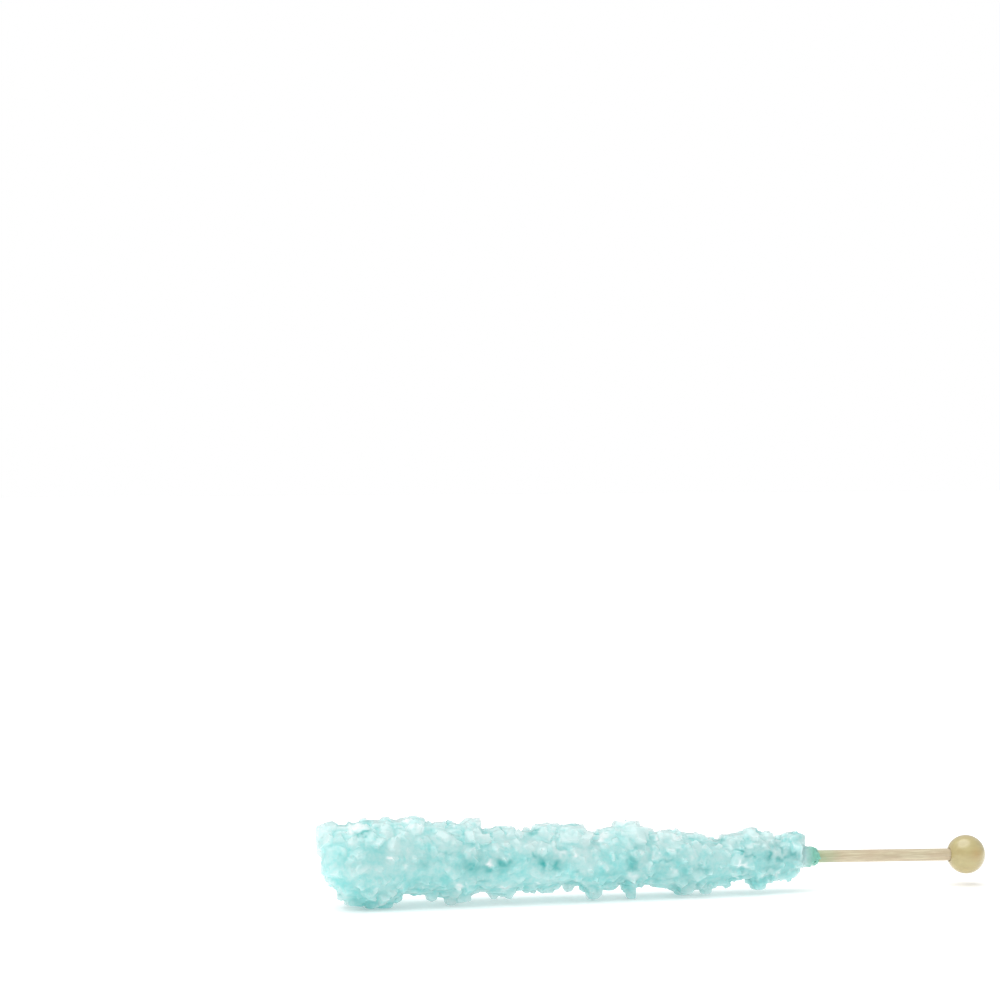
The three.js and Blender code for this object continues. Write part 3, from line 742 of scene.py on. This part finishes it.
# ---- The candy --------------------------------------------------------------------------------------
def candy_core():
    """The sugar that the crystals have grown into, at an even depth inside their reach."""
    step = (CANDY_LENGTH - 2 * CORE_END) / CORE_RINGS
    stations = [CORE_END + step * n for n in range(CORE_RINGS + 1)]
    rings = []
    for station in stations:
        radii = [reach_at(station, angle) - CORE_DEPTH for angle in angles_round(CORE_SIDES)]
        ring = ring_round(station, radii)
        for point in ring:
            point.x = station + max(0, tip_face(point)) * max(0, 1 - station / TIP_STRETCH)
        rings.append(ring)
    return lofted_mesh("core", closed(rings, stations[0], stations[-1]))


def collar_core():
    """The lump of sugar round the dowel that the collar's crystals have grown on."""
    start = CANDY_LENGTH - 2 * CORE_END
    length = COLLAR["length"] + 2 * CORE_END - COLLAR_DEPTH
    stations = [start + length * n / COLLAR_RINGS for n in range(COLLAR_RINGS + 1)]
    rings = [ring_round(at, [collar_reach(at) - COLLAR_DEPTH] * CORE_SIDES) for at in stations]
    return lofted_mesh("collar_core", closed(rings, start, start + length))


def dowel_bore():
    """The hole for the dowel, run out past the candy's end."""
    start = TIP_TO_DOWEL - SOCKET_GAP
    end = OVERALL_LENGTH
    profile = [(start, 0), (start, HOLE_RADIUS), (end, HOLE_RADIUS), (end, 0)]
    return new_object("bore", lofted_mesh("bore", turned_rings(profile, CORE_SIDES)))


def below_table():
    """A block of 1 metre, its top level with the table."""
    made = bmesh.new()
    bmesh.ops.create_cube(made, size=1)
    bmesh.ops.transform(made, matrix=Matrix.Translation((0, 0, -0.5)), verts=made.verts)
    return new_object("below_table", mesh_of("below_table", made))


def proud_crystals():
    """The proud crystals. One above the axis is sunk a little, in the cluster on it."""
    made = []
    for index, (station, degrees, reach, *shape) in enumerate(PROUD):
        height = reach - CLUSTER_SINK if degrees > 0 else reach
        made.append(proud_crystal(index, station, degrees, height, *shape))
    return made


def grown_crystals():
    """Every crystal of the candy, each with how far its edges are worn."""
    chance = Chance(SEED)
    kinds = [
        (scattered_crystals(chance, SIZES), EDGE_ROUND),
        (proud_crystals(), PROUD_EDGE),
        (crystals_in_rows(Chance(CHINK_SEED), CHINKS, CHINK_CRYSTALS), EDGE_ROUND),
        (crystals_in_rows(Chance(SPIKE_SEED), SPIKES, SPIKE_CRYSTALS), FINE_ROUND),
        (clinging_crystals(Chance(CLINGING_SEED)), FINE_ROUND),
        (filling_crystals(chance), EDGE_ROUND),
        (scattered_crystals(Chance(FINE_SEED), FINE_SIZES), FINE_ROUND),
    ]
    grown = []
    for crystals, rounding in kinds:
        grown += [((clear_of_end(corners), rings), rounding) for corners, rings in crystals]
    return grown + [(crystal, FINE_ROUND) for crystal in collar_crystals(Chance(COLLAR_SEED))]


def rock_candy():
    candy = new_object("sugar_crystals", candy_core())
    tones = Chance(TONE_SEED)
    objects = [new_object("collar_core", collar_core())]
    for crystal, rounding in grown_crystals():
        objects.append(new_object("crystal", crystal_mesh(crystal, rounding, tones.draw())))
    joined(candy, "UNION", objects)
    joined(candy, "DIFFERENCE", [dowel_bore(), below_table()])
    return candy


NO_AREA = 1e-18  # in square metres, under any real face


def rows_of(items, name, width, kind):
    """A row of numbers for each of a mesh's points, edges or triangles."""
    rows = np.empty(len(items) * width, dtype=kind)
    items.foreach_get(name, rows)
    return rows.reshape(-1, width)


class Skin:
    """A mesh's points as arrays, to smooth them."""

    def __init__(self, mesh):
        mesh.calc_loop_triangles()
        self.points = rows_of(mesh.vertices, "co", 3, float)
        self.edges = rows_of(mesh.edges, "vertices", 2, int)
        self.corners = rows_of(mesh.loop_triangles, "vertices", 3, int)
        self.degree = np.bincount(self.edges.ravel(), minlength=len(self.points))[:, None]

    def summed(self, places, values):
        """The values added up at their points."""
        count = len(self.points)
        return np.stack([np.bincount(places, column, count) for column in values.T], 1)

    def around(self, points):
        """The middle of each point's neighbours."""
        one, other = self.edges.T
        return (self.summed(one, points[other]) + self.summed(other, points[one])) / self.degree

    def faces(self, points):
        """Each face's outward direction, as long as twice its area."""
        a, b, c = (points[self.corners[:, n]] for n in range(3))
        return np.cross(b - a, c - a)

    def outward(self, points):
        faces = self.faces(points)
        normals = sum(self.summed(self.corners[:, n], faces) for n in range(3))
        return normals / np.maximum(np.linalg.norm(normals, axis=1, keepdims=True), NO_AREA)

    def folded(self, points):
        """Which points have a face that is turned away from their outward direction."""
        faces, outward = self.faces(points), self.outward(points)
        folded = np.zeros((len(points), 1), dtype=bool)
        for n in range(3):
            places = self.corners[:, n]
            away = (faces * outward[places]).sum(1) <= 0
            folded[places[away]] = True
        return folded


def spots_on_shown_side(rows):
    """Each spot as its station, angle round the axis, half sizes and strength."""
    spots = []
    for station, height, along, tall, strength in rows:
        reach = max(reach_at(station, math.pi), abs(height) * SPOT_WITHIN)
        angle = math.pi - SEEN_FROM_ABOVE - math.asin(height / reach)
        spots.append((station, angle, along, tall, strength))
    return spots


def spots_by_chance(chance, count):
    spots = []
    for index in range(count):
        station, angle = site_at(index, count, 2 * math.pi * chance.draw())
        along = chance.between(CHANCE_SPOTS["along"])
        tall = chance.between(CHANCE_SPOTS["tall"])
        strength = chance.between(CHANCE_SPOTS["strength"])
        if math.cos(angle) > NOT_SHOWN:
            spots.append((station, angle, along, tall, strength))
    return spots


def spotted(points, spots):
    """How strong the spots are at each point, from 0 to 1. Points are along the stick's axis."""
    angles = np.arctan2(points[:, 2], points[:, 1])
    radii = np.hypot(points[:, 1], points[:, 2])
    strongest = np.zeros(len(points))
    for station, angle, along, tall, strength in spots:
        turn = np.angle(np.exp(1j * (angles - angle)))
        off = ((points[:, 0] - station) / along) ** 2 + (turn * radii / tall) ** 2
        strongest = np.maximum(strongest, strength * np.exp(-off))
    return strongest


def keep(mesh, name, values):
    mesh.attributes.new(name, "FLOAT", "POINT").data.foreach_set("value", values)


def remeshed(candy):
    """The candy's mesh as one even skin, without the hollows that are shut in."""
    change = candy.modifiers.new("skin", "REMESH")
    change.mode = "SHARP"
    change.octree_depth = SKIN_DEPTH
    change.scale = SKIN_SCALE
    change.use_remove_disconnected = True
    change.use_smooth_shade = True
    return applied(candy)


def fused(skin):
    """The skin's points once sugar has filled the hollows and worn the edges."""
    points = skin.points
    for step in range(FUSING_STEPS):
        move = skin.around(points) - points
        filling = (move * skin.outward(points)).sum(1, keepdims=True) > 0
        points = points + move * np.where(filling, FILLS, WEARS)
    for step in range(UNFOLDING_STEPS):
        points = np.where(skin.folded(points), skin.around(points), points)
    low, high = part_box("rock_candy")
    return np.clip(points, np.array(low), np.array(high))


def hollowness(skin, points):
    """How far each point is under or over the smoothed skin, from 0 to 1."""
    smooth = points
    for step in range(HOLLOW_STEPS):
        smooth = skin.around(smooth)
    depth = ((smooth - points) * skin.outward(points)).sum(1) / (HOLLOW_DEPTH * MM)
    return np.clip(depth / 2 + EVEN, 0, 1)


def tones_at(points, crystals, tones):
    """The tone of the crystal that each point is nearest to."""
    found = []
    for point in points:
        _, _, face, _ = crystals.find_nearest(point)
        found.append(tones[face])
    return found


def grow_over(candy):
    """Sugar has grown over the joints: hollows fill, edges soften, and the gaps are marked for painted
    shade.
    """
    crystals = BVHTree.FromObject(candy, bpy.context.evaluated_depsgraph_get())
    tones = [tone.value for tone in candy.data.attributes["tone"].data]
    mesh = remeshed(candy)
    skin = Skin(mesh)
    points = fused(skin)
    mesh.vertices.foreach_set("co", points.ravel())
    keep(mesh, "hollow", hollowness(skin, points))
    keep(mesh, "tone", tones_at(points, crystals, tones))
    back = np.array(LYING.inverted())
    along = points @ back[:3, :3].T + back[:3, 3]
    lobes = [SPOT_STRAY * noise.noise_vector(Vector(point) / SPOT_RAGGED) for point in along]
    strayed = along + lobes
    chance = Chance(SPOT_SEED)
    # Spots of painted shade in pockets, and of painted highlight, kept on the points.
    for name, rows in (("pocket_shade", SHADED_POCKETS), ("painted_glint", PAINTED_GLINTS)):
        spots = spots_on_shown_side(rows) + spots_by_chance(chance, ROUND_THE_BACK[name])
        keep(mesh, name, spotted(strayed, spots))
    keep(mesh, "station", along[:, 0])
    mesh.update()
    mesh.set_sharp_from_angle(angle=CRISP_EDGE)


# ---- Finishes ---------------------------------------------------------------------------------------
class Nodes:
    """Adds nodes to a tree, and joins them up by name or number."""

    def __init__(self, tree):
        self.tree = tree

    def add(self, kind, settings=None, **inputs):
        node = self.tree.nodes.new("ShaderNode" + kind)
        for name, value in (settings or {}).items():
            setattr(node, name, value)
        return self.give(node, **inputs)

    def give(self, node, **inputs):
        for name, value in inputs.items():
            self.put(node, name.replace("_", " "), value)
        return node

    def put(self, node, name, value):
        if isinstance(value, bpy.types.NodeSocket):
            self.tree.links.new(value, node.inputs[name])
        else:
            node.inputs[name].default_value = value

    def kept(self, name):
        return self.add("Attribute", {"attribute_name": name}).outputs["Fac"]

    def place(self):
        return self.add("TexCoord").outputs["Object"]

    def noise(self, place, **look):
        return self.add("TexNoise", Vector=place, **look).outputs["Fac"]

    def calculated(self, kind, operation, *values):
        node = self.add(kind, {"operation": operation})
        for number, value in enumerate(values):
            self.put(node, number, value)
        return node

    def math(self, operation, *values):
        return self.calculated("Math", operation, *values).outputs[0]

    def vectors(self, operation, *values):
        return self.calculated("VectorMath", operation, *values).outputs

    def ranged(self, value, low, high, to_low=0.0, to_high=1.0):
        node = self.add("MapRange", Value=value, From_Min=low, From_Max=high)
        return self.give(node, To_Min=to_low, To_Max=to_high).outputs[0]

    def swayed(self, value, mask, strength):
        """The value, moved half the strength down where the mask is 0 and up where it is 1."""
        return self.math("MULTIPLY_ADD", mask, strength, self.math("SUBTRACT", value, strength / 2))

    def roughened(self, shader, height, depth):
        bump = self.add("Bump", Strength=BUMP, Distance=depth, Height=height)
        self.put(shader, "Normal", bump.outputs[0])

    def mixed(self, share, first, second):
        node = self.add("Mix", {"data_type": "RGBA"})
        self.put(node, 0, share)
        for number, colour in ((6, first), (7, second)):
            self.put(node, number, colour if isinstance(colour, bpy.types.NodeSocket) else (*colour, 1))
        return node.outputs[2]


def finish(name):
    """A new material with its Principled BSDF, and the adder of nodes to it."""
    material = bpy.data.materials.new(name)
    material.use_nodes = True
    nodes = Nodes(material.node_tree)
    return material, nodes, material.node_tree.nodes["Principled BSDF"]


SUGAR_DEEP = (0.26, 0.60, 0.59)
SUGAR_PALE = (0.50, 0.67, 0.66)
SUGAR_HOLLOW_SHADE = (0.25, 0.62, 0.61)
SUGAR_POCKET_SHADE = (0.03, 0.36, 0.35)
SUGAR_GLINT_WHITE = (0.88, 0.90, 0.90)
SUGAR_COLLAR = (0.20, 0.52, 0.41)

# The sugar's noises, and how far each of them and the crystals' tones sway its body from the deep
# colour at 0 to the pale one at 1.
CLOUDS = {"Scale": 220.0, "Detail": 3.0, "Roughness": 0.6}
GRAINS = {"Scale": 1100.0, "Detail": 2.0, "Roughness": 0.6}
CLOUDS_SWAY = 2.2
GRAINS_SWAY = 1.0
TONE_SWAYS = 0.16
FINE_GRAINS = {"Scale": 1400.0, "Detail": 2.0}
FINE_DEPTH = 0.0003  # in metres, as is the wood's
BUMP = 0.3

# Ranges, each from and to where, and the values there. The body is paler higher up, a painted top light
# with painted shade lower down, and paler where it is proud, painted light on the thin crests. Hollows
# are darkened with painted shade, and the collar is tinted. Light goes less far in the sugar towards
# its thin end, and least in the collar.
LEVEL_RISE = 0.00004  # a place counts as this many metres higher for each mm along the stick
PAINTED_TOP_LIGHT = (0.013, 0.018, 0.5, 0.85)
PAINTED_CREST_LIGHT = (EVEN, 0.0, 0.0, 0.1)
PAINTED_HOLLOW_SHADE = (EVEN, 1.0, 0.0, 0.35)
TINTED_COLLAR = (CANDY_LENGTH - 0.5, CANDY_LENGTH + 2, 0.0, 0.95)
SCATTERING = (70.0, CANDY_LENGTH, 0.018, 0.006)
LEFT_AT_COLLAR = (CANDY_LENGTH - 3, CANDY_LENGTH + 0.5, 1.0, 0.15)


def sugar_finish():
    material, nodes, shader = finish("rock_sugar")
    place = nodes.place()
    hollow = nodes.kept("hollow")
    station = nodes.kept("station")
    height = nodes.add("SeparateXYZ", Vector=place).outputs["Z"]
    # Paler higher up along the sloping stick: a painted top light, with painted shade lower down.
    level = nodes.math("MULTIPLY_ADD", station, LEVEL_RISE, height)
    pale = nodes.ranged(level, *PAINTED_TOP_LIGHT)
    pale = nodes.swayed(pale, nodes.noise(place, **CLOUDS), CLOUDS_SWAY)
    pale = nodes.swayed(pale, nodes.noise(place, **GRAINS), GRAINS_SWAY)
    pale = nodes.swayed(pale, nodes.kept("tone"), TONE_SWAYS)
    # Paler where proud: painted light on the thin crests.
    pale = nodes.math("ADD", pale, nodes.ranged(hollow, *PAINTED_CREST_LIGHT))
    colour = nodes.mixed(pale, SUGAR_DEEP, SUGAR_PALE)
    # Darker teal in the hollows: painted shade.
    colour = nodes.mixed(nodes.ranged(hollow, *PAINTED_HOLLOW_SHADE), colour, SUGAR_HOLLOW_SHADE)
    # Deep teal spots of painted shade in the pockets.
    colour = nodes.mixed(nodes.kept("pocket_shade"), colour, SUGAR_POCKET_SHADE)
    # White spots of painted highlight.
    colour = nodes.mixed(nodes.kept("painted_glint"), colour, SUGAR_GLINT_WHITE)
    colour = nodes.mixed(nodes.ranged(station, *TINTED_COLLAR), colour, SUGAR_COLLAR)
    nodes.roughened(shader, nodes.noise(place, **FINE_GRAINS), FINE_DEPTH)
    light = nodes.ranged(station, *SCATTERING), nodes.ranged(station, *LEFT_AT_COLLAR)
    nodes.give(shader, Base_Color=colour, Roughness=0.2, IOR=1.54, Subsurface_Weight=1,
               Subsurface_Radius=(0.8, 1.0, 1.0), Subsurface_Scale=nodes.math("MULTIPLY", *light))
    return material


candy = rock_candy()
grow_over(candy)
candy.data.materials.clear()
candy.data.materials.append(sugar_finish())
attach(candy, "root")
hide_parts("rock_candy")


# ---- The wood ---------------------------------------------------------------------------------------
DOWEL_SIDES = 64
DOWEL_STEP = 1.5
DOWEL_CHAMFER = 0.3
GRAIN_DEPTH = 0.02  # of the deepest groove
# What share of its depth a groove has: in the mean, and how far that sways, in a wave with so many
# radians for each mm along and for each side round.
GROOVE = {"mean": 0.6, "sway": 0.4, "along": 0.21, "round": 2.4}
BALL_SIDES = 96
BALL_RINGS = 64
BALL_FLAT = 0.9  # radius of the small flat that turning left on the far end
RIM_ROUND = 0.15  # broken edge of the ball's hole
TURNED_EDGE = math.radians(35)  # the wood's edges that turn more than this stay crisp
WOOD_SEED = 5


def dowel_mesh():
    """The dowel, with shallow grooves where the grain's softer wood is worn."""
    chance = Chance(WOOD_SEED)
    grooves = [GRAIN_DEPTH * chance.draw() for _ in range(DOWEL_SIDES)]
    length = DOWEL_END - TIP_TO_DOWEL
    count = round(length / DOWEL_STEP)
    stations = [TIP_TO_DOWEL, TIP_TO_DOWEL + DOWEL_CHAMFER]
    stations += [TIP_TO_DOWEL + length * n / count for n in range(1, count)]
    stations += [DOWEL_END - DOWEL_CHAMFER, DOWEL_END]
    rings = []
    for station in stations:
        ends = max(0, DOWEL_CHAMFER - min(station - TIP_TO_DOWEL, DOWEL_END - station))
        radii = []
        for n, depth in enumerate(grooves):
            wave = math.sin(GROOVE["along"] * station + GROOVE["round"] * n)
            worn = depth * (GROOVE["mean"] + GROOVE["sway"] * wave)
            radii.append(DOWEL_RADIUS - ends - worn)
        rings.append(ring_round(station, radii))
    return lofted_mesh("birch_dowel", closed(rings, TIP_TO_DOWEL, DOWEL_END))


def ball_mesh():
    """The ball, turned with a hole for the dowel and a small flat on its far end."""
    floor = DOWEL_END + SOCKET_GAP
    first = math.asin((HOLE_RADIUS + RIM_ROUND) / BALL_RADIUS)
    last = math.pi - math.asin(BALL_FLAT / BALL_RADIUS)
    arc = [first + (last - first) * n / BALL_RINGS for n in range(BALL_RINGS + 1)]
    outside = [(BALL_CENTRE - BALL_RADIUS * math.cos(a), BALL_RADIUS * math.sin(a)) for a in arc]
    rim = outside[0][0] + RIM_ROUND
    profile = [(floor, 0), (floor, HOLE_RADIUS), (rim, HOLE_RADIUS), *outside, (outside[-1][0], 0)]
    return lofted_mesh("birch_ball", turned_rings(profile, BALL_SIDES))


# The grain's noises, drawn out along the stick, and the values between which each is a mask.
STREAKS = {"Detail": 4.0, "Roughness": 0.65}
STREAKS_DRAWN_OUT = (0.06, 1.0, 1.0)
BLOTCHES = {"Detail": 2.0}
BLOTCHES_DRAWN_OUT = (0.35, 1.0, 1.0)
GRAIN_MASK = (0.35, 0.65)
WOOD_DEPTH = 0.00005
BLOTCH_SHARE = 0.5


def birch_grain():
    """Streaks and blotches of birch along the stick, as masks and a height."""
    group = bpy.data.node_groups.new("birch_grain", "ShaderNodeTree")
    for name, kind in (("Place", "Vector"), ("Streaks", "Float"), ("Blotches", "Float")):
        group.interface.new_socket(name, in_out="INPUT", socket_type="NodeSocket" + kind)
    for name in ("Streak", "Blotch", "Height"):
        group.interface.new_socket(name, in_out="OUTPUT", socket_type="NodeSocketFloat")
    nodes = Nodes(group)
    given = group.nodes.new("NodeGroupInput").outputs
    long = nodes.vectors("MULTIPLY", given["Place"], STREAKS_DRAWN_OUT)[0]
    streaks = nodes.noise(long, Scale=given["Streaks"], **STREAKS)
    soft = nodes.vectors("MULTIPLY", given["Place"], BLOTCHES_DRAWN_OUT)[0]
    blotches = nodes.noise(soft, Scale=given["Blotches"], **BLOTCHES)
    nodes.give(group.nodes.new("NodeGroupOutput"), Streak=nodes.ranged(streaks, *GRAIN_MASK),
               Blotch=nodes.ranged(blotches, *GRAIN_MASK), Height=streaks)
    return group


GRAIN = birch_grain()

# Each wood's colours, the scale of its streaks and blotches, and how rough it and its coat are.
DOWEL_WOOD = {"pale": (0.66, 0.60, 0.41), "dark": (0.44, 0.36, 0.22), "warm": (0.50, 0.37, 0.24),
              "streaks": 2600.0, "blotches": 420.0, "rough": 0.5, "coat": 0.3}
BALL_WOOD = {"pale": (0.51, 0.44, 0.20), "dark": (0.44, 0.37, 0.16), "warm": (0.45, 0.32, 0.13),
             "streaks": 700.0, "blotches": 260.0, "rough": 0.3, "coat": 0.27}


def birch_finish(name, look):
    material, nodes, shader = finish(name)
    place = nodes.place()
    grain = nodes.add("Group", {"node_tree": GRAIN}, Place=place, Streaks=look["streaks"],
                      Blotches=look["blotches"]).outputs
    wood = nodes.mixed(grain["Streak"], look["dark"], look["pale"])
    wood = nodes.mixed(nodes.math("MULTIPLY", grain["Blotch"], BLOTCH_SHARE), wood, look["warm"])
    nodes.roughened(shader, grain["Height"], WOOD_DEPTH)
    nodes.give(shader, Roughness=look["rough"], Coat_Weight=1, Coat_Roughness=look["coat"])
    return material, nodes, shader, place, wood


# The dye on the dowel: a stain that fades between two stations, raggedly, and the wood that is
# soaked for a short way beyond the candy.
STAIN = (0.24, 0.42, 0.22)
STAIN_STARTS = 127.5
STAIN_ENDS = 136
STAIN_NOISE = {"Scale": 500.0, "Detail": 3.0}
STAIN_RAGGED = (0.3, 0.6, 0.6, 1.1)
SOAKED = (0.50, 0.78, 0.74)
SOAKED_LENGTH = 1.5


def frame_x(station):
    return (LYING @ (ALONG_STICK * station)).x


def dowel_finish():
    material, nodes, shader, place, wood = birch_finish("dowel_birch", DOWEL_WOOD)
    along = nodes.add("SeparateXYZ", Vector=place).outputs["X"]
    wet = nodes.ranged(along, frame_x(STAIN_STARTS), frame_x(STAIN_ENDS), 1.0, 0.0)
    ragged = nodes.ranged(nodes.noise(place, **STAIN_NOISE), *STAIN_RAGGED)
    colour = nodes.mixed(nodes.math("MULTIPLY", wet, ragged), wood, STAIN)
    edge = frame_x(CANDY_LENGTH)
    soaked = nodes.ranged(along, edge, edge + SOAKED_LENGTH * MM, 1.0, 0.0)
    nodes.put(shader, "Base Color", nodes.mixed(soaked, colour, SOAKED))
    return material


# Where the ball's wood is warmer: from its centre, how far it reaches, its colour and share.
BALL_PATCH = {"along": 1.2, "aside": -4.8, "up": 0.65, "size": 2.4, "share": 0.6,
              "colour": (0.48, 0.30, 0.11)}


def ball_finish():
    material, nodes, shader, place, wood = birch_finish("ball_birch", BALL_WOOD)
    along, aside, up, size, share, colour = BALL_PATCH.values()
    middle = LYING @ Vector((BALL_CENTRE + along, aside, up))
    away = nodes.vectors("DISTANCE", place, middle)["Value"]
    near = nodes.ranged(away, 0.0, size * MM, share, 0.0)
    nodes.put(shader, "Base Color", nodes.mixed(near, wood, colour))
    return material


def smooth_piece(name, mesh, material, node):
    for face in mesh.polygons:
        face.use_smooth = True
    mesh.set_sharp_from_angle(angle=TURNED_EDGE)
    mesh.materials.append(material)
    piece = new_object(name, mesh)
    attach(piece, "root")
    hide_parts(node)


smooth_piece("birch_dowel", dowel_mesh(), dowel_finish(), "dowel")
smooth_piece("birch_ball", ball_mesh(), ball_finish(), "ball")


# ---- Table, light and camera ----------------------------------------------------------------------
TABLE_WHITE = 0.93
TABLE_ROUGH = 0.9
TABLE_SIZE = 3  # metres from its middle to each edge
TABLE_GLOW = 0.26  # the table is a light box, which keeps the underside bright
DAYLIGHT = 0.65
KEY_ANGLE = math.radians(62)
KEY_FROM = Vector((-0.26, -0.1, 0.96))
KEY_STRENGTH = 1.95
SUGAR_BOUNCES = 12


def table_top():
    made = bmesh.new()
    bmesh.ops.create_grid(made, x_segments=1, y_segments=1, size=TABLE_SIZE)
    top = new_object("table_top", mesh_of("table_top", made))
    material, nodes, shader = finish("table_white")
    nodes.give(shader, Base_Color=(TABLE_WHITE, TABLE_WHITE, TABLE_WHITE, 1),
               Roughness=TABLE_ROUGH, Emission_Color=(1, 1, 1, 1), Emission_Strength=TABLE_GLOW)
    top.data.materials.append(material)


def key_light():
    lamp = bpy.data.lights.new("key", "SUN")
    lamp.angle = KEY_ANGLE
    lamp.energy = KEY_STRENGTH
    made = new_object("key", lamp)
    made.rotation_euler = (-KEY_FROM).to_track_quat("-Z", "Y").to_euler()


def camera():
    lens = bpy.data.cameras.new("camera")
    lens.lens = LENS
    lens.sensor_width = SENSOR
    eye = new_object("camera", lens)
    back = Vector((math.sin(VIEW_AZIMUTH) * math.cos(VIEW_PITCH),
                   -math.cos(VIEW_AZIMUTH) * math.cos(VIEW_PITCH), math.sin(VIEW_PITCH)))
    right = Vector((math.cos(VIEW_AZIMUTH), math.sin(VIEW_AZIMUTH), 0))
    up = back.cross(right)
    pixels_per_slope = PICTURE * LENS / SENSOR
    aside = (BALL_PIXEL[0] - PICTURE / 2) / pixels_per_slope * BALL_DEPTH * MM
    below = (BALL_PIXEL[1] - PICTURE / 2) / pixels_per_slope * BALL_DEPTH * MM
    ball = LYING @ Vector((BALL_CENTRE, 0, 0))
    eye.location = ball + back * BALL_DEPTH * MM - right * aside + up * below
    eye.rotation_euler = Matrix((right, up, back)).transposed().to_euler()
    bpy.context.scene.camera = eye


def daylight():
    """Soft white light from all round. The camera itself sees a plain white backdrop."""
    world = bpy.data.worlds.new("studio")
    world.use_nodes = True
    nodes = Nodes(world.node_tree)
    backdrop = nodes.add("LightPath").outputs["Is Camera Ray"]
    strength = nodes.ranged(backdrop, 0.0, 1.0, DAYLIGHT, 1.0)
    sky = world.node_tree.nodes["Background"]
    sky.inputs["Color"].default_value = (1, 1, 1, 1)
    nodes.put(sky, "Strength", strength)
    bpy.context.scene.world = world
    bpy.context.scene.view_settings.view_transform = "Standard"
    bpy.context.scene.cycles.max_bounces = SUGAR_BOUNCES
    bpy.context.scene.cycles.diffuse_bounces = SUGAR_BOUNCES


table_top()
key_light()
camera()
daylight()
